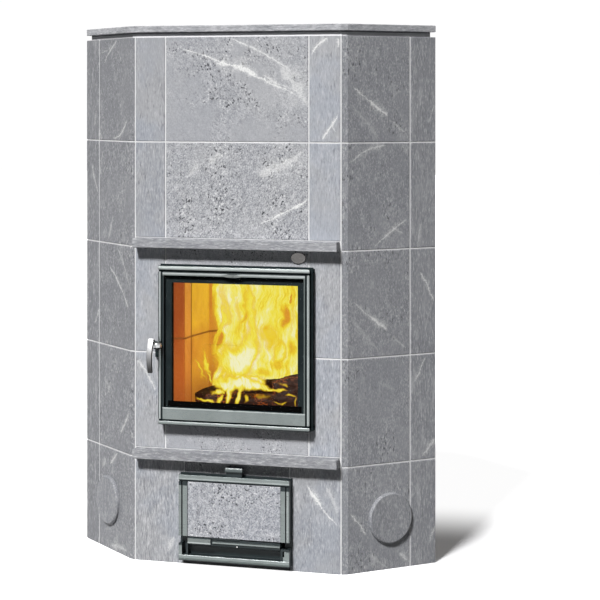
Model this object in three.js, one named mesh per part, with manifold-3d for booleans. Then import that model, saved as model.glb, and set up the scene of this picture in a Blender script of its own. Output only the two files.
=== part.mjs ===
// Corner tiled stove: a soapstone-clad, heat-storing fireplace with a glass fire door, an ash door
// and two clean-out covers. Millimetres, +Z up. The tiled front face looks along -Y and lies at y = 0
// inside the group, and "out" below means the distance that something stands in front of that face.
import * as THREE from 'three';
import { ConvexGeometry } from 'three/addons/geometries/ConvexGeometry.js';
import { mergeVertices } from 'three/addons/utils/BufferGeometryUtils.js';
import Module from 'manifold-3d';

const wasm = await Module();
wasm.setup();

// Body: a square with one corner cut off by the front face, set into the corner of a room.
const FRONT_WIDTH = 636;        // between the two corner joints of the front face
const CORNER_BEVEL = 21;        // narrow bevel between the front and each side
const SIDE_LENGTH = 312;        // side face, from the bevel to the room wall
const SIDE_JOINT_AT = 220;      // vertical joint of a side face, from the bevel
const SIDE_TURN = Math.PI / 4;  // a side face turns this far back from the front
const REAR_FLAT = 260;          // flat that cuts off the hidden rear corner, for the flue
const FIT = 0.3;                // clearance between a piece and its seat

// Cladding stones, in five courses.
const STONE_THICK = 35;
const FOOT_COURSE = 311;        // bottom course
const COURSE = 313;             // each course above it
const COURSES = 5;
const JOINT = 4;                // mortar joint
const JOINT_RECESS = 1.2;       // mortar lies this far behind the stone faces
const MORTAR_BED = 8;           // mortar behind the stones
const ARRIS = 1.5;              // small chamfer on the stone edges
const DOOR_PAST_JOINT = 11;     // the fire door laps the front's vertical joints this far
const MANTEL_THICK = 28;
const MANTEL_OUT = 40;
const MANTEL_END_GAP = 4;       // from a mantel's end to the corner joint
const MANTEL_BED = 2;           // mortar under and over a mantel
const BAND_HEIGHT = 15;         // set-back mortar band under the cap
const BAND_SET_BACK = 12;
const CAP_THICK = 20;

// Masonry inside the cladding.
const BASE_THICK = 20;
const WALL_INSIDE = 20.5;       // inner face of the side masonry, inside the fire door's edge
const FIREBOX_DEPTH = 377;      // from the mortar bed to the rear masonry
const FLOOR_UP = 9.5;           // firebox floor above the fire door's lower edge
const CEILING_UP = 11;          // firebox ceiling above the fire door's upper edge
const ASH_ROOM_INSIDE = 20;     // side of the ash room, inside the ash door's edge
const ASH_ROOM_TOP = 256;
const GRATE_HALF = 90;
const GRATE_THICK = 14;
const GRATE_BACK = 250;         // middle of the grate, behind the front face
const GRATE_LEDGE = 10;
const GRATE_SLOTS = 7;
const SLOT_WIDE = 12;
const THROAT_HALF = 120;
const THROAT_NEAR = 250;
const DUCT_DEEP = 150;          // depth of the smoke ducts, front to back
const DUCT_WIDE = 70;
const DUCT_WALL = 18;           // masonry between a duct and the firebox side
const DUCT_TOP = 1540;
const DUCT_WINDOW = 140;        // height of the openings that join the ducts
const DUCT_FLOOR = 60;
const REAR_DUCT_HALF = 75;
const REAR_DUCT_DEEP = 80;
const FLUE_HEIGHT = 1300;
const FLUE_RADIUS = 75;
const FLUE_WALL = 3;
const FLUE_OUT = 60;
const FLUE_IN = 70;

// Fire door, hinged on its right edge.
const FIRE_HALF = 232.5;
const FIRE_LOW = 420.5;
const FIRE_HIGH = 894;
const FLANGE_LIP = 3.5;         // fixed flange shows this far past the door edge
const FLANGE_THICK = 3.7;
const FRAME_HOLD = 9.5;         // fixed flange laps the stones this far
const SLEEVE_WALL = 5;
const DOOR_GAP = 0.5;
const LEAF_FRONT = 32;          // dark cast leaf, to the back of the bars
const BAR_THICK = 6;
const BAR_TOP = 12;
const BAR_BOTTOM = 10.5;
const BAR_SIDE = 8.5;
const BAR_GAP = 5;
const BAR_EDGE = 1.2;
const RETAINER_THICK = 5;
const RETAINER_TOP = 10.5;
const RETAINER_SIDE = 4;
const RETAINER_BOTTOM = 35;
const GLASS_THICK = 5;
const GLASS_LAP = 1.5;          // glass edge held under the retainer
const GLASS_SEAT = 2.5;         // glass stands this far behind the leaf front
const DARK_BORDER_SIDE = 21;    // leaf seen through the glass, around the clear window
const DARK_BORDER_TOP = 22.5;
const DARK_BORDER_BOTTOM = 16;
const HINGE_PAST_EDGE = 2;
const HINGE_OUT = 18;
const HINGE_BARREL = 5;
const HINGE_PIN = 3;
const PIN_CLEAR = 0.1;
const EAR_HEIGHT = 12;
const LENS_WIDE = 66;
const LENS_HIGH = 13;
const LENS_THICK = 2.5;
const LENS_PIN = 2.2;
const LENS_PIN_LONG = 4;

// Door handle on the left edge of the fire door.
const HUB_INSIDE = 1.5;         // spindle axis, inside the door's left edge
const HUB_RADIUS = 13.5;
const HUB_COLLAR = 11.5;         // radius of the hub between the bars
const LUG_BACK = 14.3;
const HUB_FRONT = 64;
const SPINDLE_RADIUS = 5;
const LEVER_LEFT = 16.5;        // lever centre line, left of the spindle axis
const LEVER_ABOVE = 24;         // from the spindle axis up to the lever's top
const LEVER_LENGTH = 102;
const LEVER_THICK = 9;
const LEVER_WIDE_TOP = 16;
const LEVER_WIDE_LOW = 12.5;
const LEVER_TOP_OUT = 63;       // middle of the lever's thickness, at its top
const LEVER_BOW = 15;
const LEVER_TIP_OUT = 74;
const TONGUE_LONG = 24;
const TONGUE_WIDE = 10;
const TONGUE_THICK = 4;
const TONGUE_TURN = Math.PI / 4;  // the tongue points this far below level when latched
const KEEPER_LOW = 40;          // keeper plate, below the spindle axis
const KEEPER_HIGH = 12;
const KEEPER_PAST = 20;

// Ash door, hinged along its lower edge.
const ASH_HALF = 170;
const ASH_LOW = 17.5;
const ASH_HIGH = 272;
const ASH_FLANGE_LIP = 2.5;
const ASH_PAST_JOINT = 7;       // the ash door laps the bottom course's vertical joints this far
const ASH_OPEN_TOP = 266;
const ASH_FRONT = 32;
const ASH_SILL_BAR = 16.5;
const ASH_LEAF_LOW = 66;
const ASH_STILE_LOW = 90;       // the leaf is cut away below this at its ends
const ASH_TOP_BAR = 16;
const ASH_GROOVE = 4;
const ASH_GROOVE_DEEP = 7;
const ASH_RIM = 8;
const ASH_STILE = 14.5;
const PANEL_RECESS = 2;
const PANEL_THICK = 16;
const PANEL_LOW = 88.5;
const ASH_AXIS_OUT = 14;
const ASH_AXIS_HIGH = 62;
const ASH_PIN = 3;
const ASH_PIN_LONG = 8;
const ASH_END_ROOM = 28.5;      // room at each end of the leaf's lower part, for the brackets
const BRACKET_THICK = 6;
const BRACKET_TOP = 68;
const POST_WIDE = 10;
const NOTCH = 12;
const LIP_LOW = 73;
const LIP_HIGH = 80;
const LIP_OUT = 4;
const LIP_START = -65;
const SLIDER_TAB = 71;
const TAB_LOW = 69;
const SLIDER_PLATE = 2.5;
const SLIDER_LONG = 160;
const GRIP_HALF = 27;
const GRIP_LOW = 285;
const GRIP_HIGH = 300;
const GRIP_BACK = 14;
const NECK_HALF = 24;
const NECK_THICK = 12;
const PAN_ROOM = 12;            // beside the pan
const PAN_FRONT = 75;
const PAN_LONG = 300;
const PAN_HIGH = 90;
const PAN_WALL = 2;

// Clean-out covers, low on each side face, and the blank oval badge.
const COVER_RADIUS = 75;
const COVER_OUT = 11;
const COVER_EDGE = 4;
const COVER_ALONG = 146;
const COVER_HEIGHT = 152;
const PLUG_RADIUS = 60;
const PLUG_LONG = 24;
const HOLE_CLEAR = 2;
const BADGE_AT = 190;
const BADGE_HEIGHT = 924;
const BADGE_HALF_WIDE = 22;
const BADGE_HALF_HIGH = 16.5;
const BADGE_THICK = 3;
const ROUND = 48;               // sides of round pieces

// Heights and places worked out from the sizes above.
const courseLow = (n) => (n === 0 ? 0 : FOOT_COURSE + JOINT + (n - 1) * (COURSE + JOINT));
const courseHigh = (n) => courseLow(n) + (n === 0 ? FOOT_COURSE : COURSE);
const wallTop = courseHigh(COURSES - 1);
const capLow = wallTop + BAND_HEIGHT;
const half = FRONT_WIDTH / 2;
const columnJoint = FIRE_HALF - DOOR_PAST_JOINT;
const ashJoint = ASH_HALF - ASH_PAST_JOINT;
const wallAt = FIRE_HALF - WALL_INSIDE;
const fireboxFloor = FIRE_LOW + FLOOR_UP;
const fireboxTop = FIRE_HIGH + CEILING_UP;
const ashRoomHalf = ASH_HALF - ASH_ROOM_INSIDE;
const hubX = -FIRE_HALF + HUB_INSIDE;
const fireMiddle = (FIRE_LOW + FIRE_HIGH) / 2;
const coreInset = STONE_THICK + MORTAR_BED;
const fireboxNear = coreInset + FIT;
const fireboxFar = fireboxNear + FIREBOX_DEPTH;
const lowerMantel = courseHigh(0) + MANTEL_BED;
const upperMantel = courseHigh(2) + MANTEL_BED;

// Plan directions of the right side face; the left is its mirror image.
const bevelTurn = SIDE_TURN / 2;
const alongSide = [Math.cos(SIDE_TURN), Math.sin(SIDE_TURN)];
const outOfSide = [Math.sin(SIDE_TURN), -Math.cos(SIDE_TURN)];
const outOfBevel = [Math.sin(bevelTurn), -Math.cos(bevelTurn)];
const sideStart = [half + CORNER_BEVEL * Math.cos(bevelTurn), CORNER_BEVEL * Math.sin(bevelTurn)];
const dot = (a, b) => a[0] * b[0] + a[1] * b[1];
const sideAt = (along, out) => [
  sideStart[0] + along * alongSide[0] + out * outOfSide[0],
  sideStart[1] + along * alongSide[1] + out * outOfSide[1],
];
const rearReach = dot(alongSide, sideStart) + SIDE_LENGTH;
const rearFlatY = (rearReach - alongSide[0] * REAR_FLAT / 2) / alongSide[1];

// Plan walls: each is [normal, distance], and a plan polygon is what lies inside all of its walls.
const frontWall = (inset) => [[0, -1], -inset];
const bevelWall = (inset) => [outOfBevel, dot(outOfBevel, [half, 0]) - inset];
const sideWall = (inset) => [outOfSide, dot(outOfSide, sideStart) - inset];
const roomWall = (inset) => [alongSide, rearReach - inset];
const mirror = ([normal, reach]) => [[-normal[0], normal[1]], reach];
const leftOf = (x) => [[1, 0], x];
const rightOf = (x) => [[-1, 0], -x];
const inFrontOf = (y) => [[0, 1], y];
const behind = (y) => [[0, -1], -y];
const bothSides = (walls) => [...walls, ...walls.map(mirror)];

function clip(polygon, [normal, reach]) {
  const kept = [];
  polygon.forEach((a, i) => {
    const b = polygon[(i + 1) % polygon.length];
    const da = dot(normal, a) - reach;
    const db = dot(normal, b) - reach;
    if (da <= 0) kept.push(a);
    if (da * db < 0) {
      const t = da / (da - db);
      kept.push([a[0] + t * (b[0] - a[0]), a[1] + t * (b[1] - a[1])]);
    }
  });
  return kept;
}

function plan(walls) {
  const far = 4 * (half + SIDE_LENGTH);
  return walls.reduce(clip, [[-far, -far], [far, -far], [far, far], [-far, far]]);
}

// Solids. A geometry becomes a manifold solid, is cut or joined, and goes back to a geometry.
function solid(geometry) {
  geometry.deleteAttribute('normal');
  geometry.deleteAttribute('uv');
  const merged = mergeVertices(geometry, 1e-4);
  return new wasm.Manifold(new wasm.Mesh({
    numProp: 3,
    vertProperties: merged.attributes.position.array,
    triVerts: new Uint32Array(merged.index.array),
  }));
}

function box(x0, x1, y0, y1, z0, z1) {
  const geometry = new THREE.BoxGeometry(x1 - x0, y1 - y0, z1 - z0);
  return solid(geometry.translate((x0 + x1) / 2, (y0 + y1) / 2, (z0 + z1) / 2));
}

function prism(polygon, z0, z1) {
  const shape = new THREE.Shape(polygon.map(([x, y]) => new THREE.Vector2(x, y)));
  const geometry = new THREE.ExtrudeGeometry(shape, { depth: z1 - z0, bevelEnabled: false });
  return solid(geometry.translate(0, 0, z0));
}

function hull(points) {
  return solid(new ConvexGeometry(points.map(([x, y, z]) => new THREE.Vector3(x, y, z))));
}

// A box with all its edges chamfered: the hull of three boxes, each full size along one axis only.
function edgedBox(x0, x1, y0, y1, z0, z1, edge) {
  const points = [];
  for (const full of [0, 1, 2]) {
    const inset = [0, 1, 2].map((axis) => (axis === full ? 0 : edge));
    for (const x of [x0 + inset[0], x1 - inset[0]]) {
      for (const y of [y0 + inset[1], y1 - inset[1]]) {
        for (const z of [z0 + inset[2], z1 - inset[2]]) points.push([x, y, z]);
      }
    }
  }
  return hull(points);
}

// A dressed block: the plan inside the shown and hidden walls, with chamfers round its shown faces.
function dressed(shown, hidden, z0, z1) {
  const cornerCuts = [];
  for (const [normal, reach] of shown) {
    for (const [endNormal, endReach] of hidden) {
      const sum = [normal[0] + endNormal[0], normal[1] + endNormal[1]];
      const size = Math.hypot(sum[0], sum[1]);
      if (size > 1) cornerCuts.push([[sum[0] / size, sum[1] / size], (reach + endReach - ARRIS) / size]);
    }
  }
  const full = plan([...shown, ...hidden, ...cornerCuts]);
  const narrow = plan([...shown.map(([normal, reach]) => [normal, reach - ARRIS]), ...hidden]);
  const ring = (polygon, z) => polygon.map(([x, y]) => [x, y, z]);
  return hull([
    ...ring(narrow, z0), ...ring(full, z0 + ARRIS), ...ring(full, z1 - ARRIS), ...ring(narrow, z1),
  ]);
}

function yCylinder(x, z, radius, y0, y1) {
  const geometry = new THREE.CylinderGeometry(radius, radius, y1 - y0, ROUND);
  return solid(geometry.translate(x, (y0 + y1) / 2, z));
}

function zCylinder(x, y, radius, z0, z1) {
  const geometry = new THREE.CylinderGeometry(radius, radius, z1 - z0, ROUND).rotateX(Math.PI / 2);
  return solid(geometry.translate(x, y, (z0 + z1) / 2));
}

function xCylinder(y, z, radius, x0, x1) {
  const geometry = new THREE.CylinderGeometry(radius, radius, x1 - x0, ROUND).rotateZ(Math.PI / 2);
  return solid(geometry.translate((x0 + x1) / 2, y, z));
}

// A solid of revolution about a line square to a side face; the profile is [radius, out] points.
function onSideFace(profile, hand) {
  const points = profile.map(([radius, out]) => new THREE.Vector2(radius, out));
  const geometry = new THREE.LatheGeometry(points, ROUND);
  const [x, y] = sideAt(COVER_ALONG, 0);
  geometry.rotateZ(hand * (SIDE_TURN - Math.PI)).translate(hand * x, y, COVER_HEIGHT);
  return solid(geometry);
}

// A closed skin over rings of equal point counts, with flat ends.
function loft(rings) {
  const count = rings[0].length;
  const index = [];
  for (let r = 0; r + 1 < rings.length; r += 1) {
    for (let i = 0; i < count; i += 1) {
      const a = r * count + i;
      const b = r * count + (i + 1) % count;
      index.push(a, b, a + count, b, b + count, a + count);
    }
  }
  const last = (rings.length - 1) * count;
  for (let i = 1; i + 1 < count; i += 1) {
    index.push(0, i + 1, i);
    index.push(last, last + i, last + i + 1);
  }
  const geometry = new THREE.BufferGeometry();
  geometry.setAttribute('position', new THREE.Float32BufferAttribute(rings.flat(2), 3));
  geometry.setIndex(index);
  return solid(geometry);
}

const material = (color, roughness, metalness) => (
  () => new THREE.MeshStandardMaterial({ color, roughness, metalness })
);
const soapstone = material(0xa6a8ae, 0.6, 0);
const mortarWhite = material(0xdededf, 0.9, 0);
const firebrick = material(0xb88a5e, 0.9, 0);
const darkIron = material(0x2b3032, 0.55, 0.6);
const satinSteel = material(0x9aa09e, 0.35, 0.9);
const clearGlass = () => new THREE.MeshStandardMaterial({
  color: 0xffffff, roughness: 0.03, metalness: 0, transparent: true, opacity: 0.25,
});

const rearEnd = rearFlatY + FLUE_OUT;
const stove = new THREE.Group();

function add(name, body, makeMaterial) {
  const { vertProperties, triVerts } = body.getMesh();
  const geometry = new THREE.BufferGeometry();
  geometry.setAttribute('position', new THREE.Float32BufferAttribute(vertProperties, 3));
  geometry.setIndex(new THREE.Uint32BufferAttribute(triVerts, 1));
  geometry.computeVertexNormals();
  const mesh = new THREE.Mesh(geometry, makeMaterial());
  mesh.name = name;
  stove.add(mesh);
}

// Cladding. Each stone also leaves a slightly larger pocket, which is cut from the mortar later.
let pockets = null;
function pocket(body) {
  pockets = pockets ? pockets.add(body) : body;
}

const grown = (walls, by) => walls.map(([normal, reach]) => [normal, reach + by]);

function addStone(name, shown, hidden, z0, z1, cut) {
  const stone = dressed(shown, hidden, z0, z1);
  add(name, cut ? stone.subtract(cut) : stone, soapstone);
  pocket(prism(plan(grown([...shown, ...hidden], FIT)), z0 - FIT, z1 + FIT));
}

function addFrontStone(name, x0, x1, z0, z1) {
  addStone(name, [frontWall(0)], [rightOf(x0), leftOf(x1), inFrontOf(STONE_THICK)], z0, z1);
}

function addFrontPair(name, inner, z0, z1) {
  const outer = half - JOINT / 2;
  addFrontStone(`left_${name}`, -outer, -inner, z0, z1);
  addFrontStone(`right_${name}`, inner, outer, z0, z1);
}

const columnEdge = columnJoint + JOINT / 2;
const middleEdge = columnJoint - JOINT / 2;
const ashEdge = ashJoint + JOINT / 2;
const fireOpenLow = FIRE_LOW - FLANGE_LIP + FRAME_HOLD;
const fireOpenHigh = FIRE_HIGH + FLANGE_LIP - FRAME_HOLD;
const aboveMantel = MANTEL_THICK + MANTEL_BED;
addFrontPair('front_stone_1', ashEdge, courseLow(0), courseHigh(0));
addFrontPair('front_stone_2', columnEdge, lowerMantel + aboveMantel, courseHigh(1));
addFrontPair('front_stone_3', columnEdge, courseLow(2), courseHigh(2));
addFrontPair('front_stone_4', columnEdge, upperMantel + aboveMantel, courseHigh(3));
addFrontPair('front_stone_5', columnEdge, courseLow(4), courseHigh(4));
addFrontStone('ash_door_lintel', -ashJoint + JOINT / 2, ashJoint - JOINT / 2,
  ASH_OPEN_TOP, courseHigh(0));
addFrontStone('fire_door_sill', -middleEdge, middleEdge, lowerMantel + aboveMantel, fireOpenLow);
addFrontStone('fire_door_lintel', -middleEdge, middleEdge, fireOpenHigh, courseHigh(2));
addFrontStone('middle_front_stone_4', -middleEdge, middleEdge, upperMantel + aboveMantel, courseHigh(3));
addFrontStone('middle_front_stone_5', -middleEdge, middleEdge, courseLow(4), courseHigh(4));

const backOfStone = ([normal, reach]) => [[-normal[0], -normal[1]], -(reach - STONE_THICK)];
const sideEnd = ([normal, reach]) => [[-normal[0], -normal[1]], -reach];
const bothHands = (hand) => (walls) => (hand > 0 ? walls : walls.map(mirror));

function coverHole(hand, radius, deep) {
  return onSideFace([[0, -deep], [radius, -deep], [radius, COVER_OUT], [0, COVER_OUT]], hand);
}

for (const [name, hand] of [['left', -1], ['right', 1]]) {
  const turned = bothHands(hand);
  const jointWall = (offset) => roomWall(SIDE_LENGTH - SIDE_JOINT_AT - offset);
  const wideHidden = [rightOf(half + JOINT / 2), backOfStone(sideWall(0)), jointWall(-JOINT / 2)];
  const hole = coverHole(hand, PLUG_RADIUS + HOLE_CLEAR, 2 * STONE_THICK);
  for (let n = 0; n < COURSES; n += 1) {
    addStone(`${name}_side_stone_${n + 1}`, turned([bevelWall(0), sideWall(0)]),
      turned(wideHidden), courseLow(n), courseHigh(n), n === 0 ? hole : null);
  }

  // The narrow rear stones of a side hang on one backing, with the joints sawn across their faces.
  const narrowHidden = [
    sideEnd(jointWall(JOINT / 2)), backOfStone(sideWall(0)), roomWall(0),
  ];
  const backing = plan(turned([...grown([sideWall(0)], -JOINT), ...narrowHidden]));
  let column = prism(backing, 0, wallTop);
  for (let n = 0; n < COURSES; n += 1) {
    column = column.add(dressed(turned([sideWall(0)]), turned(narrowHidden), courseLow(n), courseHigh(n)));
    pocket(prism(plan(turned(grown([sideWall(0), ...narrowHidden], FIT))),
      courseLow(n) - FIT, courseHigh(n) + FIT));
  }
  pocket(prism(plan(turned(grown([sideWall(JOINT), ...narrowHidden], FIT))), -FIT, wallTop + FIT));
  add(`${name}_rear_stones`, column, soapstone);
}

const mantelHalf = half - MANTEL_END_GAP;
for (const [name, low] of [['lower_mantel', lowerMantel], ['upper_mantel', upperMantel]]) {
  add(name, edgedBox(-mantelHalf, mantelHalf, -MANTEL_OUT, STONE_THICK, low, low + MANTEL_THICK,
    ARRIS), soapstone);
  pocket(box(-mantelHalf - FIT, mantelHalf + FIT, -MANTEL_OUT, STONE_THICK + FIT, low - FIT,
    low + MANTEL_THICK + FIT));
}

// Cap slab over the whole plan, with the same bevels as the stones below it.
const capWalls = [
  frontWall(0), ...bothSides([bevelWall(0), sideWall(0), roomWall(0)]), inFrontOf(rearFlatY),
];
add('cap_slab', dressed(capWalls, [], capLow, capLow + CAP_THICK), soapstone);

// Mortar: the bed behind the stones, the joints between them and the set-back band under the cap.
const faceWalls = (inset) => [
  frontWall(inset), ...bothSides([bevelWall(inset), sideWall(inset)]),
];
const coreWalls = [frontWall(coreInset), ...bothSides([sideWall(coreInset)])];
const bedWalls = [...faceWalls(JOINT_RECESS), ...bothSides([roomWall(FIT)])];
const bandWalls = [...faceWalls(BAND_SET_BACK), ...bothSides([roomWall(BAND_SET_BACK)])];
let mortar = prism(plan(bedWalls), 1, wallTop)
  .add(prism(plan(bandWalls), wallTop - JOINT, capLow - FIT))
  .subtract(prism(plan(coreWalls), -1, capLow + 1))
  .subtract(pockets)
  .subtract(box(-columnEdge, columnEdge, -1, coreInset + 1, fireOpenLow, fireOpenHigh))
  .subtract(box(-ashEdge, ashEdge, -1, coreInset + 1, 0, ASH_OPEN_TOP));
for (const hand of [-1, 1]) {
  mortar = mortar.subtract(coverHole(hand, PLUG_RADIUS + HOLE_CLEAR, 2 * coreInset));
}
add('mortar', mortar, mortarWhite);

// Masonry core: a base slab, two side blocks and a rear block with the smoke ducts, the hearth
// block over the ash room, and the crown block over the firebox.
const coreTop = capLow - FIT;
const coreLow = BASE_THICK + FIT;
const seatWalls = coreWalls.map(([normal, reach]) => [normal, reach - FIT]);
const roomWalls = bothSides([roomWall(0)]);
const baseWalls = [...seatWalls, ...roomWalls, inFrontOf(rearFlatY)];
add('base_slab', prism(plan(baseWalls), 0, BASE_THICK)
  .add(box(-ashEdge + FIT, ashEdge - FIT, ARRIS, fireboxNear + 1, 0, BASE_THICK)), firebrick);

const ductNear = fireboxFar - DUCT_DEEP - 2 * JOINT;
const ductFar = ductNear + DUCT_DEEP;
const ductInner = wallAt + DUCT_WALL;
const ductOuter = ductInner + DUCT_WIDE;
const rearNear = fireboxFar + FIT;
const crossNear = rearNear + DUCT_WALL;
const crossFar = crossNear + REAR_DUCT_DEEP;
const linkOuter = ductInner + DUCT_WALL;
const linkTop = DUCT_FLOOR + DUCT_WINDOW;
const windowLow = DUCT_TOP - DUCT_WINDOW;
for (const [name, hand] of [['left_core', -1], ['right_core', 1]]) {
  const turned = bothHands(hand);
  const sides = (x0, x1) => (hand > 0 ? [x0, x1] : [-x1, -x0]);
  const block = prism(plan(turned([rightOf(wallAt), ...seatWalls, roomWall(0)])), coreLow, coreTop);
  const duct = box(...sides(ductInner, ductOuter), ductNear, ductFar, DUCT_FLOOR, DUCT_TOP);
  const window = box(...sides(wallAt - 1, ductInner + 1), ductNear, ductFar, windowLow, DUCT_TOP);
  const link = box(...sides(ductInner, linkOuter), ductFar - 1, crossFar, DUCT_FLOOR, linkTop)
    .add(box(...sides(wallAt - 1, linkOuter), crossNear, crossFar, DUCT_FLOOR, linkTop));
  const [x] = sideAt(COVER_ALONG, 0);
  const reach = (x - wallAt - DUCT_WALL / 2) / alongSide[0] - PLUG_RADIUS;
  const cleanOut = coverHole(hand, PLUG_RADIUS, reach);
  add(name, block.subtract(duct).subtract(window).subtract(link).subtract(cleanOut), firebrick);
}

const rearBlock = prism(plan([
  rightOf(-wallAt + FIT), leftOf(wallAt - FIT), behind(rearNear), ...roomWalls, inFrontOf(rearFlatY),
]), coreLow, coreTop);
const crossDuct = box(-wallAt, wallAt, crossNear, crossFar, DUCT_FLOOR, linkTop);
const riser = box(-REAR_DUCT_HALF, REAR_DUCT_HALF, crossNear, crossFar,
  DUCT_FLOOR, FLUE_HEIGHT + FLUE_RADIUS);
const flueHole = yCylinder(0, FLUE_HEIGHT, FLUE_RADIUS + FIT, crossFar - 1, rearFlatY + 1);
add('rear_core', rearBlock.subtract(crossDuct).subtract(riser).subtract(flueHole), firebrick);

const hearth = box(-wallAt + FIT, wallAt - FIT, fireboxNear, fireboxFar, coreLow, fireboxFloor);
const ashRoom = box(-ashRoomHalf, ashRoomHalf, 0, fireboxFar - GRATE_LEDGE,
  ASH_LEAF_LOW, ASH_ROOM_TOP);
const grateHole = GRATE_HALF - GRATE_LEDGE;
const draught = box(-grateHole, grateHole, GRATE_BACK - grateHole, GRATE_BACK + grateHole,
  ASH_ROOM_TOP - 1, fireboxFloor + 1);
const grateSeat = GRATE_HALF + FIT;
const grateLow = fireboxFloor - GRATE_THICK - FIT;
const grateRebate = box(-grateSeat, grateSeat, GRATE_BACK - grateSeat, GRATE_BACK + grateSeat,
  grateLow, fireboxFloor + 1);
add('hearth_block', hearth.subtract(ashRoom).subtract(draught).subtract(grateRebate), firebrick);

const crown = box(-wallAt + FIT, wallAt - FIT, fireboxNear, fireboxFar, fireboxTop, coreTop);
const throat = box(-THROAT_HALF, THROAT_HALF, THROAT_NEAR, ductFar, 0, DUCT_TOP);
const crownWindow = box(-wallAt, wallAt, ductNear, ductFar, windowLow, DUCT_TOP);
add('crown_block', crown.subtract(throat).subtract(crownWindow), firebrick);

let grate = box(-GRATE_HALF, GRATE_HALF, GRATE_BACK - GRATE_HALF, GRATE_BACK + GRATE_HALF,
  grateLow + FIT, fireboxFloor);
const slotPitch = 2 * grateHole / GRATE_SLOTS;
for (let n = 0; n < GRATE_SLOTS; n += 1) {
  const middle = -grateHole + slotPitch * (n + 0.5);
  grate = grate.subtract(box(middle - SLOT_WIDE / 2, middle + SLOT_WIDE / 2,
    GRATE_BACK - grateHole + GRATE_LEDGE, GRATE_BACK + grateHole - GRATE_LEDGE, 0, fireboxFloor + 1));
}
add('grate', grate, darkIron);

const flueTube = yCylinder(0, FLUE_HEIGHT, FLUE_RADIUS, rearFlatY - FLUE_IN, rearEnd);
const flueBore = yCylinder(0, FLUE_HEIGHT, FLUE_RADIUS - FLUE_WALL, rearFlatY - FLUE_IN - 1, rearEnd + 1);
add('flue_spigot', flueTube.subtract(flueBore), darkIron);

// Fire door frame: a flange on the stones, a sleeve through them, two hinge ears and the keeper.
const ring = (outer, inner, y0, y1) => (
  box(-outer[0], outer[0], y0, y1, outer[1], outer[2])
    .subtract(box(-inner[0], inner[0], y0 - 1, y1 + 1, inner[1], inner[2]))
);
const fireFlange = [FIRE_HALF + FLANGE_LIP, FIRE_LOW - FLANGE_LIP, FIRE_HIGH + FLANGE_LIP];
const fireSleeve = [columnEdge - FIT, fireOpenLow + FIT, fireOpenHigh - FIT];
const fireSleeveHole = [
  fireSleeve[0] - SLEEVE_WALL, fireSleeve[1] + SLEEVE_WALL, fireSleeve[2] - SLEEVE_WALL,
];
const flangeFront = FIT + FLANGE_THICK;
const hingeX = FIRE_HALF + HINGE_PAST_EDGE;
const barrelLow = FIRE_LOW + EAR_HEIGHT + 2 * DOOR_GAP;
const barrelHigh = FIRE_HIGH - EAR_HEIGHT - 2 * DOOR_GAP;
const pinLong = 2 * EAR_HEIGHT;
const ear = (z0, z1) => zCylinder(hingeX, -HINGE_OUT, HINGE_BARREL, z0, z1)
  .add(box(hingeX - HINGE_BARREL, hingeX + HINGE_BARREL, -HINGE_OUT, -flangeFront + 1, z0, z1))
  .add(box(hingeX - HINGE_BARREL, hingeX + HINGE_BARREL, -flangeFront, -FIT, z0, z1));
const handleZ = fireMiddle;
const tongueFront = LUG_BACK - 2 * FIT;
const tongueBack = tongueFront - TONGUE_THICK;
const keeper = box(hubX - KEEPER_PAST, -fireFlange[0] + 1, -tongueBack + FIT, -FIT,
  handleZ - KEEPER_LOW, handleZ - KEEPER_HIGH);
const fireFrame = ring(fireFlange, fireSleeveHole, -flangeFront, -FIT)
  .add(ring(fireSleeve, fireSleeveHole, -FIT - 1, coreInset))
  .add(ear(FIRE_LOW, FIRE_LOW + EAR_HEIGHT))
  .add(ear(FIRE_HIGH - EAR_HEIGHT, FIRE_HIGH))
  .add(zCylinder(hingeX, -HINGE_OUT, HINGE_PIN, FIRE_LOW + 1, FIRE_LOW + pinLong))
  .add(zCylinder(hingeX, -HINGE_OUT, HINGE_PIN, FIRE_HIGH - pinLong, FIRE_HIGH - 1))
  .add(keeper);
add('fire_door_frame', fireFrame, darkIron);

// Fire door leaf: the dark cast frame that carries the glass, bars, hinge barrel and handle lug.
const leafBack = flangeFront + DOOR_GAP;
const leafOuter = [FIRE_HALF, FIRE_LOW, FIRE_HIGH];
const retainerOuter = [
  FIRE_HALF - BAR_SIDE - BAR_GAP, FIRE_LOW + BAR_BOTTOM + BAR_GAP, FIRE_HIGH - BAR_TOP - BAR_GAP,
];
const retainerInner = [
  retainerOuter[0] - RETAINER_SIDE, retainerOuter[1] + RETAINER_BOTTOM, retainerOuter[2] - RETAINER_TOP,
];
const glassOuter = [
  retainerInner[0] + GLASS_LAP, retainerInner[1] - GLASS_LAP, retainerInner[2] + GLASS_LAP,
];
const windowOuter = [
  retainerInner[0] - DARK_BORDER_SIDE, retainerInner[1] + DARK_BORDER_BOTTOM,
  retainerInner[2] - DARK_BORDER_TOP,
];
const pocketOuter = [glassOuter[0] + FIT, glassOuter[1] - FIT, glassOuter[2] + FIT];
const glassFront = LEAF_FRONT - GLASS_SEAT;
const full = ([x, z0, z1], y0, y1) => box(-x, x, y0, y1, z0, z1);
const earRoom = HINGE_BARREL + DOOR_GAP;
const earCut = (z0, z1) => box(hingeX - earRoom - 1, FIRE_HALF + 1, -LEAF_FRONT + HINGE_BARREL, 0, z0, z1);
const hub = (radius, y0, y1) => yCylinder(hubX, handleZ, radius, y0, y1);
const pinBore = HINGE_PIN + PIN_CLEAR;
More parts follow.
